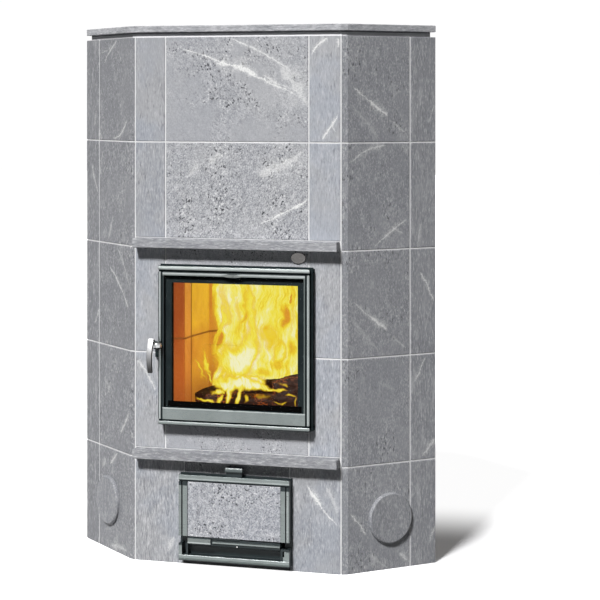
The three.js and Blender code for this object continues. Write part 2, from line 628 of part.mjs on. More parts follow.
const leaf = full(leafOuter, -LEAF_FRONT, -leafBack)
  .subtract(full(windowOuter, -LEAF_FRONT - 1, 0))
  .subtract(full(pocketOuter, -LEAF_FRONT - 1, -glassFront + GLASS_THICK + FIT))
  .subtract(earCut(FIRE_LOW - 1, barrelLow - DOOR_GAP))
  .subtract(earCut(barrelHigh + DOOR_GAP, FIRE_HIGH + 1))
  .add(zCylinder(hingeX, -HINGE_OUT, HINGE_BARREL, barrelLow, barrelHigh))
  .subtract(zCylinder(hingeX, -HINGE_OUT, pinBore, barrelLow - 1, FIRE_LOW + pinLong + 1))
  .subtract(zCylinder(hingeX, -HINGE_OUT, pinBore, FIRE_HIGH - pinLong - 1, barrelHigh + 1))
  .add(hub(HUB_COLLAR, -LEAF_FRONT, -LUG_BACK))
  .subtract(hub(TONGUE_LONG + 2, -LUG_BACK, 0))
  .subtract(hub(SPINDLE_RADIUS + FIT, -LEAF_FRONT - 1, 0));
add('fire_door_leaf', leaf, darkIron);

const barFront = LEAF_FRONT + BAR_THICK;
const bar = (x0, x1, z0, z1) => edgedBox(x0, x1, -barFront, -LEAF_FRONT, z0, z1, BAR_EDGE);
add('door_top_bar', bar(-FIRE_HALF, FIRE_HALF, FIRE_HIGH - BAR_TOP, FIRE_HIGH), satinSteel);
add('door_bottom_bar', bar(-FIRE_HALF, FIRE_HALF, FIRE_LOW, FIRE_LOW + BAR_BOTTOM), satinSteel);
const hubClear = hub(HUB_COLLAR + 2 * FIT, -barFront - 1, 0);
const leftBar = bar(-FIRE_HALF, -FIRE_HALF + BAR_SIDE, retainerOuter[1], retainerOuter[2]);
const leftBarParts = leftBar.subtract(hubClear).decompose()
  .sort((a, b) => a.boundingBox().min[2] - b.boundingBox().min[2]);
add('door_left_bar_lower', leftBarParts[0], satinSteel);
add('door_left_bar_upper', leftBarParts[1], satinSteel);
add('door_right_bar', bar(FIRE_HALF - BAR_SIDE, FIRE_HALF, retainerOuter[1], retainerOuter[2]), satinSteel);
add('glass_retainer', ring(retainerOuter, retainerInner, -LEAF_FRONT - RETAINER_THICK, -LEAF_FRONT),
  satinSteel);
add('door_glass', full(glassOuter, -glassFront, -glassFront + GLASS_THICK), clearGlass);

// Air-wash tab: a thin lens flat on the top strip of the retainer, slid sideways by its pin.
const lensZ = retainerInner[2] + RETAINER_TOP / 2 - LENS_THICK;
const lensRise = LENS_HIGH / 2;
const lensRadius = (LENS_WIDE ** 2 / 4 + lensRise ** 2) / (2 * lensRise);
const lensFront = LEAF_FRONT + RETAINER_THICK + LENS_THICK;
const lensArc = (centre) => {
  const geometry = new THREE.CylinderGeometry(lensRadius, lensRadius, LENS_THICK, 8 * ROUND);
  return solid(geometry.translate(0, -lensFront + LENS_THICK / 2, centre));
};
const lensOffset = lensRadius - lensRise;
const lens = lensArc(lensZ - lensOffset).intersect(lensArc(lensZ + lensOffset));
add('air_wash_tab', lens.add(yCylinder(0, lensZ, LENS_PIN, -lensFront - LENS_PIN_LONG, -lensFront + 1)),
  satinSteel);

// Handle: hub, spindle and bowed lever in one casting, and the latch tongue on the spindle's end.
const leverStations = 9;
const leverOut = (t) => (
  LEVER_TOP_OUT + (LEVER_TIP_OUT - LEVER_TOP_OUT) * t + LEVER_BOW * Math.sin(Math.PI * t) ** 0.8
);
const leverRing = (t) => {
  const out = leverOut(t);
  const z = handleZ + LEVER_ABOVE - LEVER_LENGTH * t;
  const x = hubX - LEVER_LEFT;
  const w = (LEVER_WIDE_TOP + (LEVER_WIDE_LOW - LEVER_WIDE_TOP) * Math.min(1, 2 * t)) / 2;
  const d = LEVER_THICK / 2;
  const c = LEVER_THICK / 4;
  const section = [
    [-w + c, -d], [w - c, -d], [w, -d + c], [w, d - c], [w - c, d], [-w + c, d], [-w, d - c], [-w, -d + c],
  ];
  return section.map(([dx, dy]) => [x + dx, -out + dy, z]);
};
const lever = loft(Array.from({ length: leverStations }, (_, i) => leverRing(1 - i / (leverStations - 1))));
const spindleBack = tongueBack;
const handle = hub(HUB_RADIUS, -HUB_FRONT, -barFront - FIT)
  .add(hub(HUB_COLLAR, -HUB_FRONT, -LEAF_FRONT - FIT))
  .add(hub(SPINDLE_RADIUS, -HUB_FRONT, -tongueFront - 1))
  .add(hub(SPINDLE_RADIUS / 2, -HUB_FRONT, -spindleBack))
  .add(box(hubX - LEVER_LEFT, hubX, -leverOut(LEVER_ABOVE / LEVER_LENGTH),
    -HUB_FRONT + LEVER_THICK, handleZ - HUB_RADIUS / 2, handleZ + HUB_RADIUS / 2))
  .add(lever);
add('door_handle', handle, satinSteel);

const tongueArm = new THREE.BoxGeometry(TONGUE_LONG, TONGUE_THICK, TONGUE_WIDE)
  .translate(-TONGUE_LONG / 2, 0, 0)
  .rotateY(-TONGUE_TURN)
  .translate(hubX, -(tongueFront + tongueBack) / 2, handleZ);
const tongue = hub(TONGUE_WIDE, -tongueFront, -tongueBack)
  .add(solid(tongueArm))
  .subtract(hub(SPINDLE_RADIUS / 2 + FIT, -tongueFront - 1, 0));
add('latch_tongue', tongue, darkIron);

// Ash door frame: flange, sleeve, sill bar, end posts and the brackets that hold the leaf's pins.
const ashFlange = [ASH_HALF + ASH_FLANGE_LIP, ASH_LOW - ASH_FLANGE_LIP, ASH_HIGH + ASH_FLANGE_LIP];
const ashSleeve = [ashEdge - FIT, BASE_THICK + FIT, ASH_OPEN_TOP - FIT];
const ashHole = [ashRoomHalf - FIT, ASH_LEAF_LOW, ashSleeve[2] - SLEEVE_WALL];
const leafEnd = ASH_HALF - ASH_END_ROOM;
const ashPost = (x0) => box(x0, x0 + POST_WIDE, -ASH_FRONT, -FIT, ASH_LOW, BRACKET_TOP);
const cheek = (x0) => box(x0, x0 + BRACKET_THICK, -ASH_FRONT + BRACKET_THICK, -FIT, ASH_LOW, BRACKET_TOP);
const facePlate = box(leafEnd + 1, ASH_HALF, -ASH_FRONT + BRACKET_THICK, -ASH_FRONT + 2 * BRACKET_THICK,
  ASH_LOW, BRACKET_TOP)
  .subtract(box(0, leafEnd + NOTCH, -ASH_FRONT, 0, BRACKET_TOP - 2 * NOTCH, BRACKET_TOP - NOTCH / 2));
const pinSeatHalf = leafEnd + ASH_PIN_LONG + 2 * DOOR_GAP;
const pinSeat = xCylinder(-ASH_AXIS_OUT, ASH_AXIS_HIGH, ASH_PIN + PIN_CLEAR, -pinSeatHalf, pinSeatHalf);
const ashFrame = ring(ashFlange, ashHole, -flangeFront, -FIT)
  .add(ring(ashSleeve, ashHole, -FIT - 1, fireboxNear - FIT))
  .add(edgedBox(-ASH_HALF, ASH_HALF, -ASH_FRONT, -FIT, ASH_LOW, ASH_LOW + ASH_SILL_BAR, BAR_EDGE))
  .add(ashPost(-ASH_HALF))
  .add(ashPost(ASH_HALF - POST_WIDE))
  .add(cheek(leafEnd + 1))
  .add(cheek(-leafEnd - 1 - BRACKET_THICK))
  .add(facePlate)
  .subtract(pinSeat);
add('ash_door_frame', ashFrame, darkIron);

// Ash door leaf: top bar, rims and stiles divided by sawn grooves, a shelf for the air slider below
// the stone panel, and the two pins that it tilts on.
const leafInner = ASH_HALF - ASH_RIM - ASH_GROOVE - ASH_STILE;
const panelHigh = ASH_HIGH - ASH_TOP_BAR - ASH_GROOVE;
const shelfTop = PANEL_LOW - FIT - SLIDER_PLATE - 2 * FIT;
const grooveFront = -ASH_FRONT - 1;
const grooveBack = -ASH_FRONT + ASH_GROOVE_DEEP;
const sideGroove = (x0) => box(x0, x0 + ASH_GROOVE, grooveFront, grooveBack, 0, panelHigh + ASH_GROOVE);
const panelBack = -ASH_FRONT + PANEL_RECESS + PANEL_THICK;
const shelfBack = -leafBack - 2 * BRACKET_THICK / 3;
const endCut = (x0, x1) => box(x0, x1, -ASH_FRONT - 1, 0, 0, ASH_STILE_LOW);
const ashLeaf = box(-ASH_HALF, ASH_HALF, -ASH_FRONT, -leafBack, ASH_LEAF_LOW, ASH_HIGH)
  .subtract(box(-leafInner, leafInner, grooveFront, panelBack + FIT, PANEL_LOW - FIT, panelHigh))
  .subtract(box(-ASH_HALF - 1, ASH_HALF + 1, grooveFront, grooveBack, panelHigh, panelHigh + ASH_GROOVE))
  .subtract(sideGroove(-ASH_HALF + ASH_RIM))
  .subtract(sideGroove(ASH_HALF - ASH_RIM - ASH_GROOVE))
  .subtract(box(-leafInner, leafInner, grooveFront, shelfBack, shelfTop, PANEL_LOW))
  .subtract(endCut(-ASH_HALF - 1, -leafEnd))
  .subtract(endCut(leafEnd, ASH_HALF + 1))
  .subtract(box(-ASH_HALF, ASH_HALF, grooveFront, -ASH_FRONT + LIP_OUT, 0, shelfTop))
  .add(box(LIP_START, leafEnd, -ASH_FRONT, -ASH_FRONT + LIP_OUT + 1, LIP_LOW, LIP_HIGH))
  .add(box(-leafEnd, leafEnd, -ASH_AXIS_OUT - ASH_PIN, -ASH_AXIS_OUT + ASH_PIN,
    ASH_AXIS_HIGH, ASH_LEAF_LOW + 1))
  .add(xCylinder(-ASH_AXIS_OUT, ASH_AXIS_HIGH, ASH_PIN, -leafEnd - ASH_PIN_LONG, leafEnd + ASH_PIN_LONG))
  .add(box(-NECK_HALF, NECK_HALF, -GRIP_BACK - NECK_THICK, -GRIP_BACK, ASH_HIGH - 1, GRIP_LOW));
add('ash_door_leaf', ashLeaf, satinSteel);

add('ash_stone_panel', edgedBox(-leafInner + FIT, leafInner - FIT, -ASH_FRONT + PANEL_RECESS, panelBack,
  PANEL_LOW, panelHigh - FIT, ARRIS), soapstone);
add('ash_door_grip', edgedBox(-GRIP_HALF, GRIP_HALF, -ASH_FRONT, -GRIP_BACK, GRIP_LOW, GRIP_HIGH, ARRIS),
  satinSteel);

// Air slider: a flat plate on the shelf, with its finger tab turned down in front of the lip.
const tabLeft = -leafEnd + FIT;
const tabFront = ASH_FRONT + FIT + SLIDER_PLATE;
const plateLow = shelfTop + FIT;
const plateHigh = plateLow + SLIDER_PLATE;
const slider = box(tabLeft, tabLeft + SLIDER_LONG, -ASH_FRONT, shelfBack - FIT, plateLow, plateHigh)
  .add(box(tabLeft, tabLeft + SLIDER_TAB, -tabFront, -ASH_FRONT + 1, plateLow, plateHigh))
  .add(box(tabLeft, tabLeft + SLIDER_TAB, -tabFront, -ASH_FRONT - FIT, TAB_LOW, plateHigh));
add('air_slider', slider, satinSteel);

// Ash pan with a front pull, standing on the floor of the ash room.
const panLow = ASH_LEAF_LOW;
const panHalf = ashRoomHalf - PAN_ROOM;
const panBack = PAN_FRONT + PAN_LONG;
const panInner = panHalf - PAN_WALL;
const pan = box(-panHalf, panHalf, PAN_FRONT, panBack, panLow, panLow + PAN_HIGH)
  .subtract(box(-panInner, panInner, PAN_FRONT + PAN_WALL, panBack - PAN_WALL,
    panLow + PAN_WALL, panLow + PAN_HIGH + 1))
  .add(box(-NECK_HALF, NECK_HALF, PAN_FRONT - NECK_THICK, PAN_FRONT + 1,
    panLow + PAN_HIGH - 2 * PAN_WALL, panLow + PAN_HIGH));
add('ash_pan', pan, darkIron);

// Clean-out covers: a soapstone disc with a chamfered rim, and a plug that fits the hole.
const coverProfile = [
  [0, -PLUG_LONG], [PLUG_RADIUS, -PLUG_LONG], [PLUG_RADIUS, FIT], [COVER_RADIUS, FIT],
  [COVER_RADIUS, COVER_OUT - COVER_EDGE], [COVER_RADIUS - COVER_EDGE, COVER_OUT], [0, COVER_OUT],
];
add('left_cleanout_cover', onSideFace(coverProfile, -1), soapstone);
add('right_cleanout_cover', onSideFace(coverProfile, 1), soapstone);

// Blank oval badge on the lintel over the fire door.
const badgeGeometry = new THREE.CylinderGeometry(1, 1, BADGE_THICK, ROUND)
  .scale(BADGE_HALF_WIDE, 1, BADGE_HALF_HIGH)
  .translate(BADGE_AT, -FIT - BADGE_THICK / 2, BADGE_HEIGHT);
add('blank_badge', solid(badgeGeometry), satinSteel);

// The origin is the middle of the whole stove on the floor.
const bounds = new THREE.Box3().setFromObject(stove);
stove.position.y = -(bounds.min.y + bounds.max.y) / 2;
export default stove;
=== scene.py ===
from math import cos, pi, radians, sin, sqrt

import bpy
import numpy as np
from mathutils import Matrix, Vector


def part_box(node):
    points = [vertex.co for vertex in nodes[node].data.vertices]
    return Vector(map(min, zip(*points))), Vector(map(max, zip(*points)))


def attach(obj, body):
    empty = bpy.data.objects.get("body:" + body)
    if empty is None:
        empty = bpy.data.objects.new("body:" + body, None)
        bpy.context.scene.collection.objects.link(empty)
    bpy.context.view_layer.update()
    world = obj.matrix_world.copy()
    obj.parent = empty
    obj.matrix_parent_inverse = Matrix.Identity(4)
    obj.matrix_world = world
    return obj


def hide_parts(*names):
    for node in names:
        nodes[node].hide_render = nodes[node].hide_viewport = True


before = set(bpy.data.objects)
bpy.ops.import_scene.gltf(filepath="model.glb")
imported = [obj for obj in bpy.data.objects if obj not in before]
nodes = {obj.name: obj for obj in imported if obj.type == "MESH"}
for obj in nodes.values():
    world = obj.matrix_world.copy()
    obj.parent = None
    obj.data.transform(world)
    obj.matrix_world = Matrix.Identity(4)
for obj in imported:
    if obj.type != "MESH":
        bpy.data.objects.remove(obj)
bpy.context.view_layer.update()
FRONT_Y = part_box("middle_front_stone_5")[0].y     # the front face of the cladding
HANDS = (("left", -1), ("right", 1))

# Camera: level, to the right of the front face, with a long lens. The stove stands off the middle
# of the picture, so the lens is shifted.
def add_object(name, data):
    """An object of the data, in the scene."""
    made = bpy.data.objects.new(name, data)
    bpy.context.scene.collection.objects.link(made)
    return made


camera = add_object("camera", bpy.data.cameras.new("camera"))
camera.data.lens = 113.685
camera.data.sensor_width = 36
camera.data.shift_x = 0.1683
camera.data.shift_y = -0.3298
camera.location = (1.5318, FRONT_Y - 5.4282, 1.3839)
camera.rotation_euler = (radians(90), 0, radians(16.887))
bpy.context.scene.camera = camera
bpy.context.scene.view_settings.view_transform = "Standard"


# Studio: a pale floor that keeps the stove's shadow, an even pale world that shows white behind the
# stove, and one soft key light high in front, a little to the left.
def add_node(tree, kind, inputs=(), **settings):
    """A shader node with its settings, and each of its inputs joined to a socket or set to a value.
    Colours are solid."""
    made = tree.nodes.new(kind)
    for name, value in settings.items():
        setattr(made, name, value)
    for name, value in dict(inputs).items():
        if isinstance(value, bpy.types.NodeSocket):
            tree.links.new(value, made.inputs[name])
        else:
            made.inputs[name].default_value = (*value, 1) if made.inputs[name].type == "RGBA" else value
    return made


def new_material(name):
    """An empty material, its node tree, and the place of a point on its object."""
    material = bpy.data.materials.new(name)
    material.use_nodes = True
    tree = material.node_tree
    tree.nodes.clear()
    return material, tree, add_node(tree, "ShaderNodeTexCoord").outputs["Object"]


def maths(tree, operation, a, b=0.0, clamp=False):
    """The output of one Math node."""
    return add_node(tree, "ShaderNodeMath", {0: a, 1: b}, operation=operation, use_clamp=clamp).outputs[0]


def vectors(tree, operation, *values, output="Vector", **named):
    """An output of one Vector Math node."""
    inputs = {**dict(enumerate(values)), **named}
    return add_node(tree, "ShaderNodeVectorMath", inputs, operation=operation).outputs[output]


def axes_of(tree, place):
    """The coordinates of a place, by their letters."""
    return add_node(tree, "ShaderNodeSeparateXYZ", {0: place}).outputs


def mapped(tree, place, kind="POINT", **changes):
    """A place moved, turned and stretched by a Mapping node."""
    return add_node(tree, "ShaderNodeMapping", {"Vector": place, **changes}, vector_type=kind).outputs[0]


def ramp(tree, value, low, high, to_low=0.0, to_high=1.0, way="SMOOTHSTEP"):
    """A smooth step of value from low to high, as a number from to_low to to_high."""
    return add_node(tree, "ShaderNodeMapRange", {
        "Value": value, "From Min": low, "From Max": high, "To Min": to_low, "To Max": to_high,
    }, interpolation_type=way).outputs[0]


def lerp(tree, value, first, second, low=0.0, high=1.0):
    """A number that goes evenly from the first to the second as value goes from low to high."""
    return ramp(tree, value, low, high, first, second, "LINEAR")


def seen_rays(tree):
    """1 for the rays that see the studio itself: the camera's, and those mirrored or let through."""
    path = add_node(tree, "ShaderNodeLightPath")
    seen = maths(tree, "MAXIMUM", path.outputs["Is Camera Ray"], path.outputs["Is Glossy Ray"])
    return maths(tree, "MAXIMUM", seen, path.outputs["Is Transmission Ray"])


# The floor's own glow hides the far end of the shadow, and leaves the part beside the stove.
GLOW_MIDDLE, GLOW_SQUEEZE = (0.56, 0.1, 0), (1.0, 1.15, 1)
EDGE = 30
floor_finish, tree, place = new_material("studio_floor")
offset = vectors(tree, "MULTIPLY", vectors(tree, "SUBTRACT", place, GLOW_MIDDLE), GLOW_SQUEEZE)
away = vectors(tree, "LENGTH", offset, output="Value")
plain = add_node(tree, "ShaderNodeBsdfDiffuse", {"Color": (0.09, 0.09, 0.09)})
pale = add_node(tree, "ShaderNodeBsdfDiffuse", {"Color": (0.85, 0.85, 0.86)})
glow = ramp(tree, away, 0.1, 0.75, 0.14, 0.95)
glow = add_node(tree, "ShaderNodeEmission", {"Color": (1, 1, 1), "Strength": glow})
lit = add_node(tree, "ShaderNodeAddShader", {0: pale.outputs[0], 1: glow.outputs[0]})
mixed = add_node(tree, "ShaderNodeMixShader", {0: seen_rays(tree), 1: plain.outputs[0], 2: lit.outputs[0]})
add_node(tree, "ShaderNodeOutputMaterial", {"Surface": mixed.outputs[0]})
floor_mesh = bpy.data.meshes.new("studio_floor")
corners = [(-EDGE, -EDGE, 0), (EDGE, -EDGE, 0), (EDGE, EDGE, 0), (-EDGE, EDGE, 0)]
floor_mesh.from_pydata(corners, [], [(0, 1, 2, 3)])
floor_mesh.materials.append(floor_finish)
floor = add_object("studio_floor", floor_mesh)

# Mirrored rays see the white studio up to the height of its walls, under a dark ceiling.
world = bpy.data.worlds.new("studio")
bpy.context.scene.world = world
world.use_nodes = True
tree = world.node_tree
tree.nodes.clear()
rise = axes_of(tree, add_node(tree, "ShaderNodeTexCoord").outputs["Generated"])["Z"]
mirrored = add_node(tree, "ShaderNodeLightPath").outputs["Is Glossy Ray"]
walls = lerp(tree, mirrored, 1.02, ramp(tree, rise, 0.2, 0.5, 1.0, 0.1))
sky = add_node(tree, "ShaderNodeBackground", {
    "Color": (1, 1, 1), "Strength": lerp(tree, seen_rays(tree), 0.03, walls)})
add_node(tree, "ShaderNodeOutputWorld", {"Surface": sky.outputs[0]})

key_light = add_object("key_light", bpy.data.lights.new("key_light", "SUN"))
key_light.data.energy = 4.4
key_light.data.angle = radians(9)
key_light.rotation_euler = (radians(45), 0, radians(-10))


# Cladding stones: grey soapstone slabs, sawn and brushed, with dark pits, pale flecks and white
# mineral veins. Every slab is cut from another place in the rock, so each has its own pattern.
VECTOR, COLOR, NUMBER = "NodeSocketVector", "NodeSocketColor", "NodeSocketFloat"


def new_group(name, inputs, outputs):
    """A shader node group with sockets of these names and kinds, what comes in through its inputs,
    and where its outputs are joined."""
    group = bpy.data.node_groups.new(name, "ShaderNodeTree")
    for in_out, sockets in (("INPUT", inputs), ("OUTPUT", outputs)):
        for socket_name, kind in sockets.items():
            group.interface.new_socket(socket_name, in_out=in_out, socket_type=kind)
    return group, group.nodes.new("NodeGroupInput").outputs, group.nodes.new("NodeGroupOutput").inputs


def put_out(group, ends, **values):
    """Joins the values to the group's outputs of their names."""
    for name, value in values.items():
        group.links.new(value, ends[name])


def use_group(tree, group, inputs):
    """The outputs of a group that is used in a tree."""
    return add_node(tree, "ShaderNodeGroup", inputs, node_tree=group).outputs


def times(tree, first, *others, clamp=False):
    """The product of the values."""
    for other in others:
        first = maths(tree, "MULTIPLY", first, other, clamp)
    return first


def noise(tree, coords, scale, detail=3.0, rough=0.5, distortion=0.0, output="Fac"):
    """A noise texture over the coordinates."""
    return add_node(tree, "ShaderNodeTexNoise", {
        "Vector": coords, "Scale": scale, "Detail": detail, "Roughness": rough, "Distortion": distortion,
    }).outputs[output]


def mix(tree, amount, first, second):
    """A colour between two, by the amount."""
    return add_node(tree, "ShaderNodeMix", {0: amount, 6: first, 7: second}, data_type="RGBA").outputs[2]


# The rock itself. Place carries its clouds and smooth patches, and Grain Place, which is stretched
# the way the slab was sawn, its fine grain, flecks and pits.
rock, given, ends = new_group("soapstone_rock", {
    "Place": VECTOR, "Grain Place": VECTOR, "Tone": COLOR, "Cool": COLOR, "Pits": NUMBER, "Grain": NUMBER,
    "Patches": NUMBER}, {"Color": COLOR, "Roughness": NUMBER, "Height": NUMBER})
place, grain_place = given["Place"], given["Grain Place"]
cloud = noise(rock, place, 5.5, 4, 0.6, 0.3)
smooth = times(rock, ramp(rock, noise(rock, place, 7.5, 3, 0.5, 0.5), 0.5, 0.6), given["Patches"])
rough_part = maths(rock, "SUBTRACT", 1.0, smooth)
grain = noise(rock, grain_place, 300.0, 3, 0.7)
blotch = noise(rock, grain_place, 70.0, 3, 0.6)
contrast = times(rock, given["Grain"], maths(rock, "ADD", times(rock, rough_part, 0.75), 0.25))
color = mix(rock, ramp(rock, cloud, 0.38, 0.62), given["Cool"], given["Tone"])
for pattern, spread, share in ((grain, 0.2, 1.0), (blotch, 0.22, 0.4)):
    strength = times(rock, contrast, share, clamp=True)
    for side, shade in ((spread, (0.7, 0.7, 0.715)), (-spread, (0.15, 0.155, 0.17))):
        color = mix(rock, times(rock, ramp(rock, pattern, 0.5, 0.5 + side), strength), color, shade)
cluster = ramp(rock, noise(rock, place, 11.0, 3, 0.6), 0.46, 0.6, 0.12, 1.0)
cluster = times(rock, cluster, rough_part, given["Pits"])
spots = noise(rock, grain_place, 185.0, 1, 0.5)
pit = times(rock, ramp(rock, spots, 0.61, 0.7), cluster, clamp=True)
fleck = times(rock, ramp(rock, spots, 0.38, 0.3), times(rock, cluster, 0.55), clamp=True)
color = mix(rock, pit, color, (0.06, 0.063, 0.07))
color = mix(rock, fleck, color, (0.8, 0.8, 0.8))
height = maths(rock, "SUBTRACT", times(rock, grain, contrast), times(rock, pit, 2.0))
put_out(rock, ends, Color=color, Roughness=ramp(rock, grain, 0.3, 0.7, 0.66, 0.5), Height=height)


def apart(tree, a, b):
    """How far apart two numbers are."""
    return maths(tree, "ABSOLUTE", maths(tree, "SUBTRACT", a, b))


# One mineral vein: how near a point is to a wobbling line, swelling and broken up along its length.
vein, given, ends = new_group("mineral_vein", {
    "Place": VECTOR, "Middle": VECTOR, "Along": VECTOR, "Across": VECTOR, "Half Length": NUMBER,
    "Half Width": NUMBER, "Bend": NUMBER}, {"Mask": NUMBER})
place = given["Place"]
wobble = vectors(vein, "SUBTRACT", noise(vein, place, 30, 6, 0.75, output="Color"), (0.5, 0.5, 0.5))
wobble = vectors(vein, "SCALE", wobble, Scale=0.02)
offset = vectors(vein, "ADD", vectors(vein, "SUBTRACT", place, given["Middle"]), wobble)
along, across = (vectors(vein, "DOT_PRODUCT", offset, given[way], output="Value")
                 for way in ("Along", "Across"))
away = apart(vein, across, times(vein, along, along, given["Bend"]))
reach = maths(vein, "DIVIDE", maths(vein, "ABSOLUTE", along), given["Half Length"])
swell = ramp(vein, noise(vein, place, 28.0, 5, 0.7), 0.35, 0.65, 0.3, 1.9)
width = times(vein, given["Half Width"], swell, ramp(vein, reach, 1.05, 0.5, 0.35, 1.0))
near = maths(vein, "DIVIDE", away, width)
grainy = noise(vein, place, 210.0, 4, 0.75)
mask = times(vein, ramp(vein, near, 1.3, 0.3), ramp(vein, grainy, 0.36, 0.54, 0.3, 1.0))
feather = times(vein, ramp(vein, near, 4.2, 0.6), ramp(vein, grainy, 0.46, 0.62, 0.08, 0.6))
mask = times(vein, maths(vein, "MAXIMUM", mask, feather), ramp(vein, reach, 1.0, 0.8), clamp=True)
put_out(vein, ends, Mask=mask)

# The veins of each stone: (distance along its face, height, angle, half length, half width, strength,
# bend), in millimetres and degrees.
STONE_VEINS = {
    "middle_front_stone_5": [(14, 1480, -22, 218, 2.3, 0.9, -0.2), (4, 1487, -16, 72, 6.2, 1, -1.2),
        (71, 1533, -27, 103, 2.3, 0.75, -0.3), (178, 1432, -57, 72, 20, 0.55, 0.5),
        (135, 1437, -25, 64, 1.9, 0.6, 1)],
    "middle_front_stone_4": [(140, 1197, 29, 85, 13, 0.5, 0.8), (146, 1057, 27, 84, 2.2, 0.9, 0.5),
        (199, 1082, 35, 26, 3.8, 1, 2.5), (-67, 1218, 39, 24, 7.3, 0.45, -3.4),
        (-137, 1178, 51, 27, 7.3, 0.4, -1.6)],
    "right_front_stone_5": [(249, 1552, 49, 37, 2.3, 0.9, -5.4), (286, 1310, 59, 47, 2, 0.95, 0),
        (294, 1315, -71, 23, 1.4, 0.6, 3.5), (310, 1558, 87, 13, 2.3, 0.8, 3.1)],
    "right_side_stone_5": [(80, 1383, -35, 78, 2.6, 0.65, 0.1), (108, 1365, -32, 38, 4.6, 0.6, 0.4),
        (62, 1328, -46, 76, 5.1, 0.22, -0.3), (179, 1310, -38, 32, 2.3, 0.4, 1.2)],
    "right_side_stone_3": [(80, 749, -37, 80, 2.6, 0.6, 0.1), (108, 730, -34, 38, 4.6, 0.55, 0.4),
        (61, 696, -46, 77, 5.1, 0.2, -0.2), (179, 671, -40, 33, 2.3, 0.35, 1.1)],
    "right_front_stone_1": [(257, 197, -51, 76, 2.5, 0.9, 1.2), (239, 219, -47, 27, 4.6, 0.8, 2.8),
        (294, 217, -67, 45, 4.3, 0.4, -1.7)],
    "right_side_stone_1": [(39, 143, -52, 48, 2, 0.75, -1.5), (103, 27, -37, 44, 5.8, 0.3, 1.8),
        (194, 33, -43, 20, 2.9, 0.55, 0)],
    "right_side_stone_4": [(66, 1241, 21, 71, 3.2, 0.6, -2.2), (148, 999, 34, 73, 2.6, 0.65, -0.7),
        (172, 1003, -29, 26, 2.6, 0.4, 6.3), (201, 1244, -48, 16, 5.8, 0.3, 0)],
    "right_side_stone_2": [(141, 541, -22, 42, 4.3, 0.15, -0.1)],
    "right_rear_stones": [(283, 832, -61, 53, 2.3, 0.7, -1.3), (296, 1349, 69, 32, 2.2, 0.5, -1.3),
        (256, 584, 60, 45, 2.2, 0.6, 0), (286, 348, 46, 35, 3.5, 0.6, 1.3), (297, 85, 63, 29, 2.2, 0.5, -3.1),
        (252, 987, 82, 39, 2.9, 0.3, -0.9)],
    "left_rear_stones": [(252, 1140, 61, 59, 1.9, 0.6, 0.6), (247, 1334, -76, 26, 2.3, 0.4, 1.6),
        (236, 712, -58, 32, 2.2, 0.6, 1), (273, 231, 57, 14, 1.7, 0.5, 0), (215, 12, 86, 25, 2.9, 0.5, -0.6)],
    "left_side_stone_5": [(140, 1543, -37, 59, 2.2, 0.6, -1.4), (164, 1545, -16, 42, 1.4, 0.4, 4.1),
        (61, 1288, -32, 60, 2.9, 0.65, 4.9), (210, 1284, 66, 17, 2.9, 0.6, 1.2)],
    "left_side_stone_4": [(133, 998, -65, 42, 3.2, 0.35, 2.8), (203, 1196, -77, 40, 2.2, 0.25, -1.3)],
    "left_side_stone_3": [(69, 821, 42, 94, 3.2, 0.65, -1.4), (40, 885, 53, 80, 2.3, 0.35, -1.8)],
    "left_side_stone_2": [(34, 406, -49, 49, 3.5, 0.55, 0.5), (161, 510, 41, 29, 5.8, 0.25, -2.8)],
    "left_side_stone_1": [(112, 286, -35, 35, 3.2, 0.65, 0.1), (185, 258, -48, 22, 4.6, 0.4, -2.1),
        (77, 19, -4, 57, 7.3, 0.5, -1.4)],
    "left_front_stone_2": [(-274, 555, -58, 47, 2.3, 0.75, -1.6), (-300, 593, -54, 16, 4.3, 0.5, 3.3)],
    "left_front_stone_1": [(-204, 55, 69, 26, 5.8, 0.5, 0)]}

GREY, COOL, BLUE = (0.41, 0.415, 0.435), (0.37, 0.378, 0.405), (0.385, 0.405, 0.45)
# The side stones' tones are darker than the front's, as painted shade of the side faces.
SIDE_GREY, SIDE_COOL = (0.29, 0.295, 0.313), (0.25, 0.256, 0.275)
FRONT_FACE = ((0, FRONT_Y), (1, 0))               # a point of the face in plan, and the way along it
SIDE_START, SIDE_BACK, SLOPE = 0.33738, 0.00803, sqrt(0.5)
SIDE_FACE = {hand: ((sign * SIDE_START, FRONT_Y + SIDE_BACK), (sign * SLOPE, SLOPE)) for hand, sign in HANDS}
draw = np.random.default_rng(11)
SKIN_INPUTS = {"metallic": "Metallic", "shine": "Specular IOR Level", "glow": "Emission Color",
               "glow_strength": "Emission Strength", "alpha": "Alpha"}


def finish_node(name, material):
    """Puts a material on a CAD node."""
    nodes[name].data.materials.clear()
    nodes[name].data.materials.append(material)


def add_skin(tree, color, rough, relief=None, depth=0.0, strength=0.6, normal=None, **others):
    """A material's surface, with relief from a height map of this depth in metres."""
    inputs = {"Base Color": color, "Roughness": rough}
    for name, value in others.items():
        inputs[SKIN_INPUTS[name]] = value
    if relief is not None:
        bump = {"Strength": strength, "Distance": depth, "Height": relief}
        if normal is not None:
            bump["Normal"] = normal
        inputs["Normal"] = add_node(tree, "ShaderNodeBump", bump).outputs[0]
    skin = add_node(tree, "ShaderNodeBsdfPrincipled", inputs)
    add_node(tree, "ShaderNodeOutputMaterial", {"Surface": skin.outputs[0]})


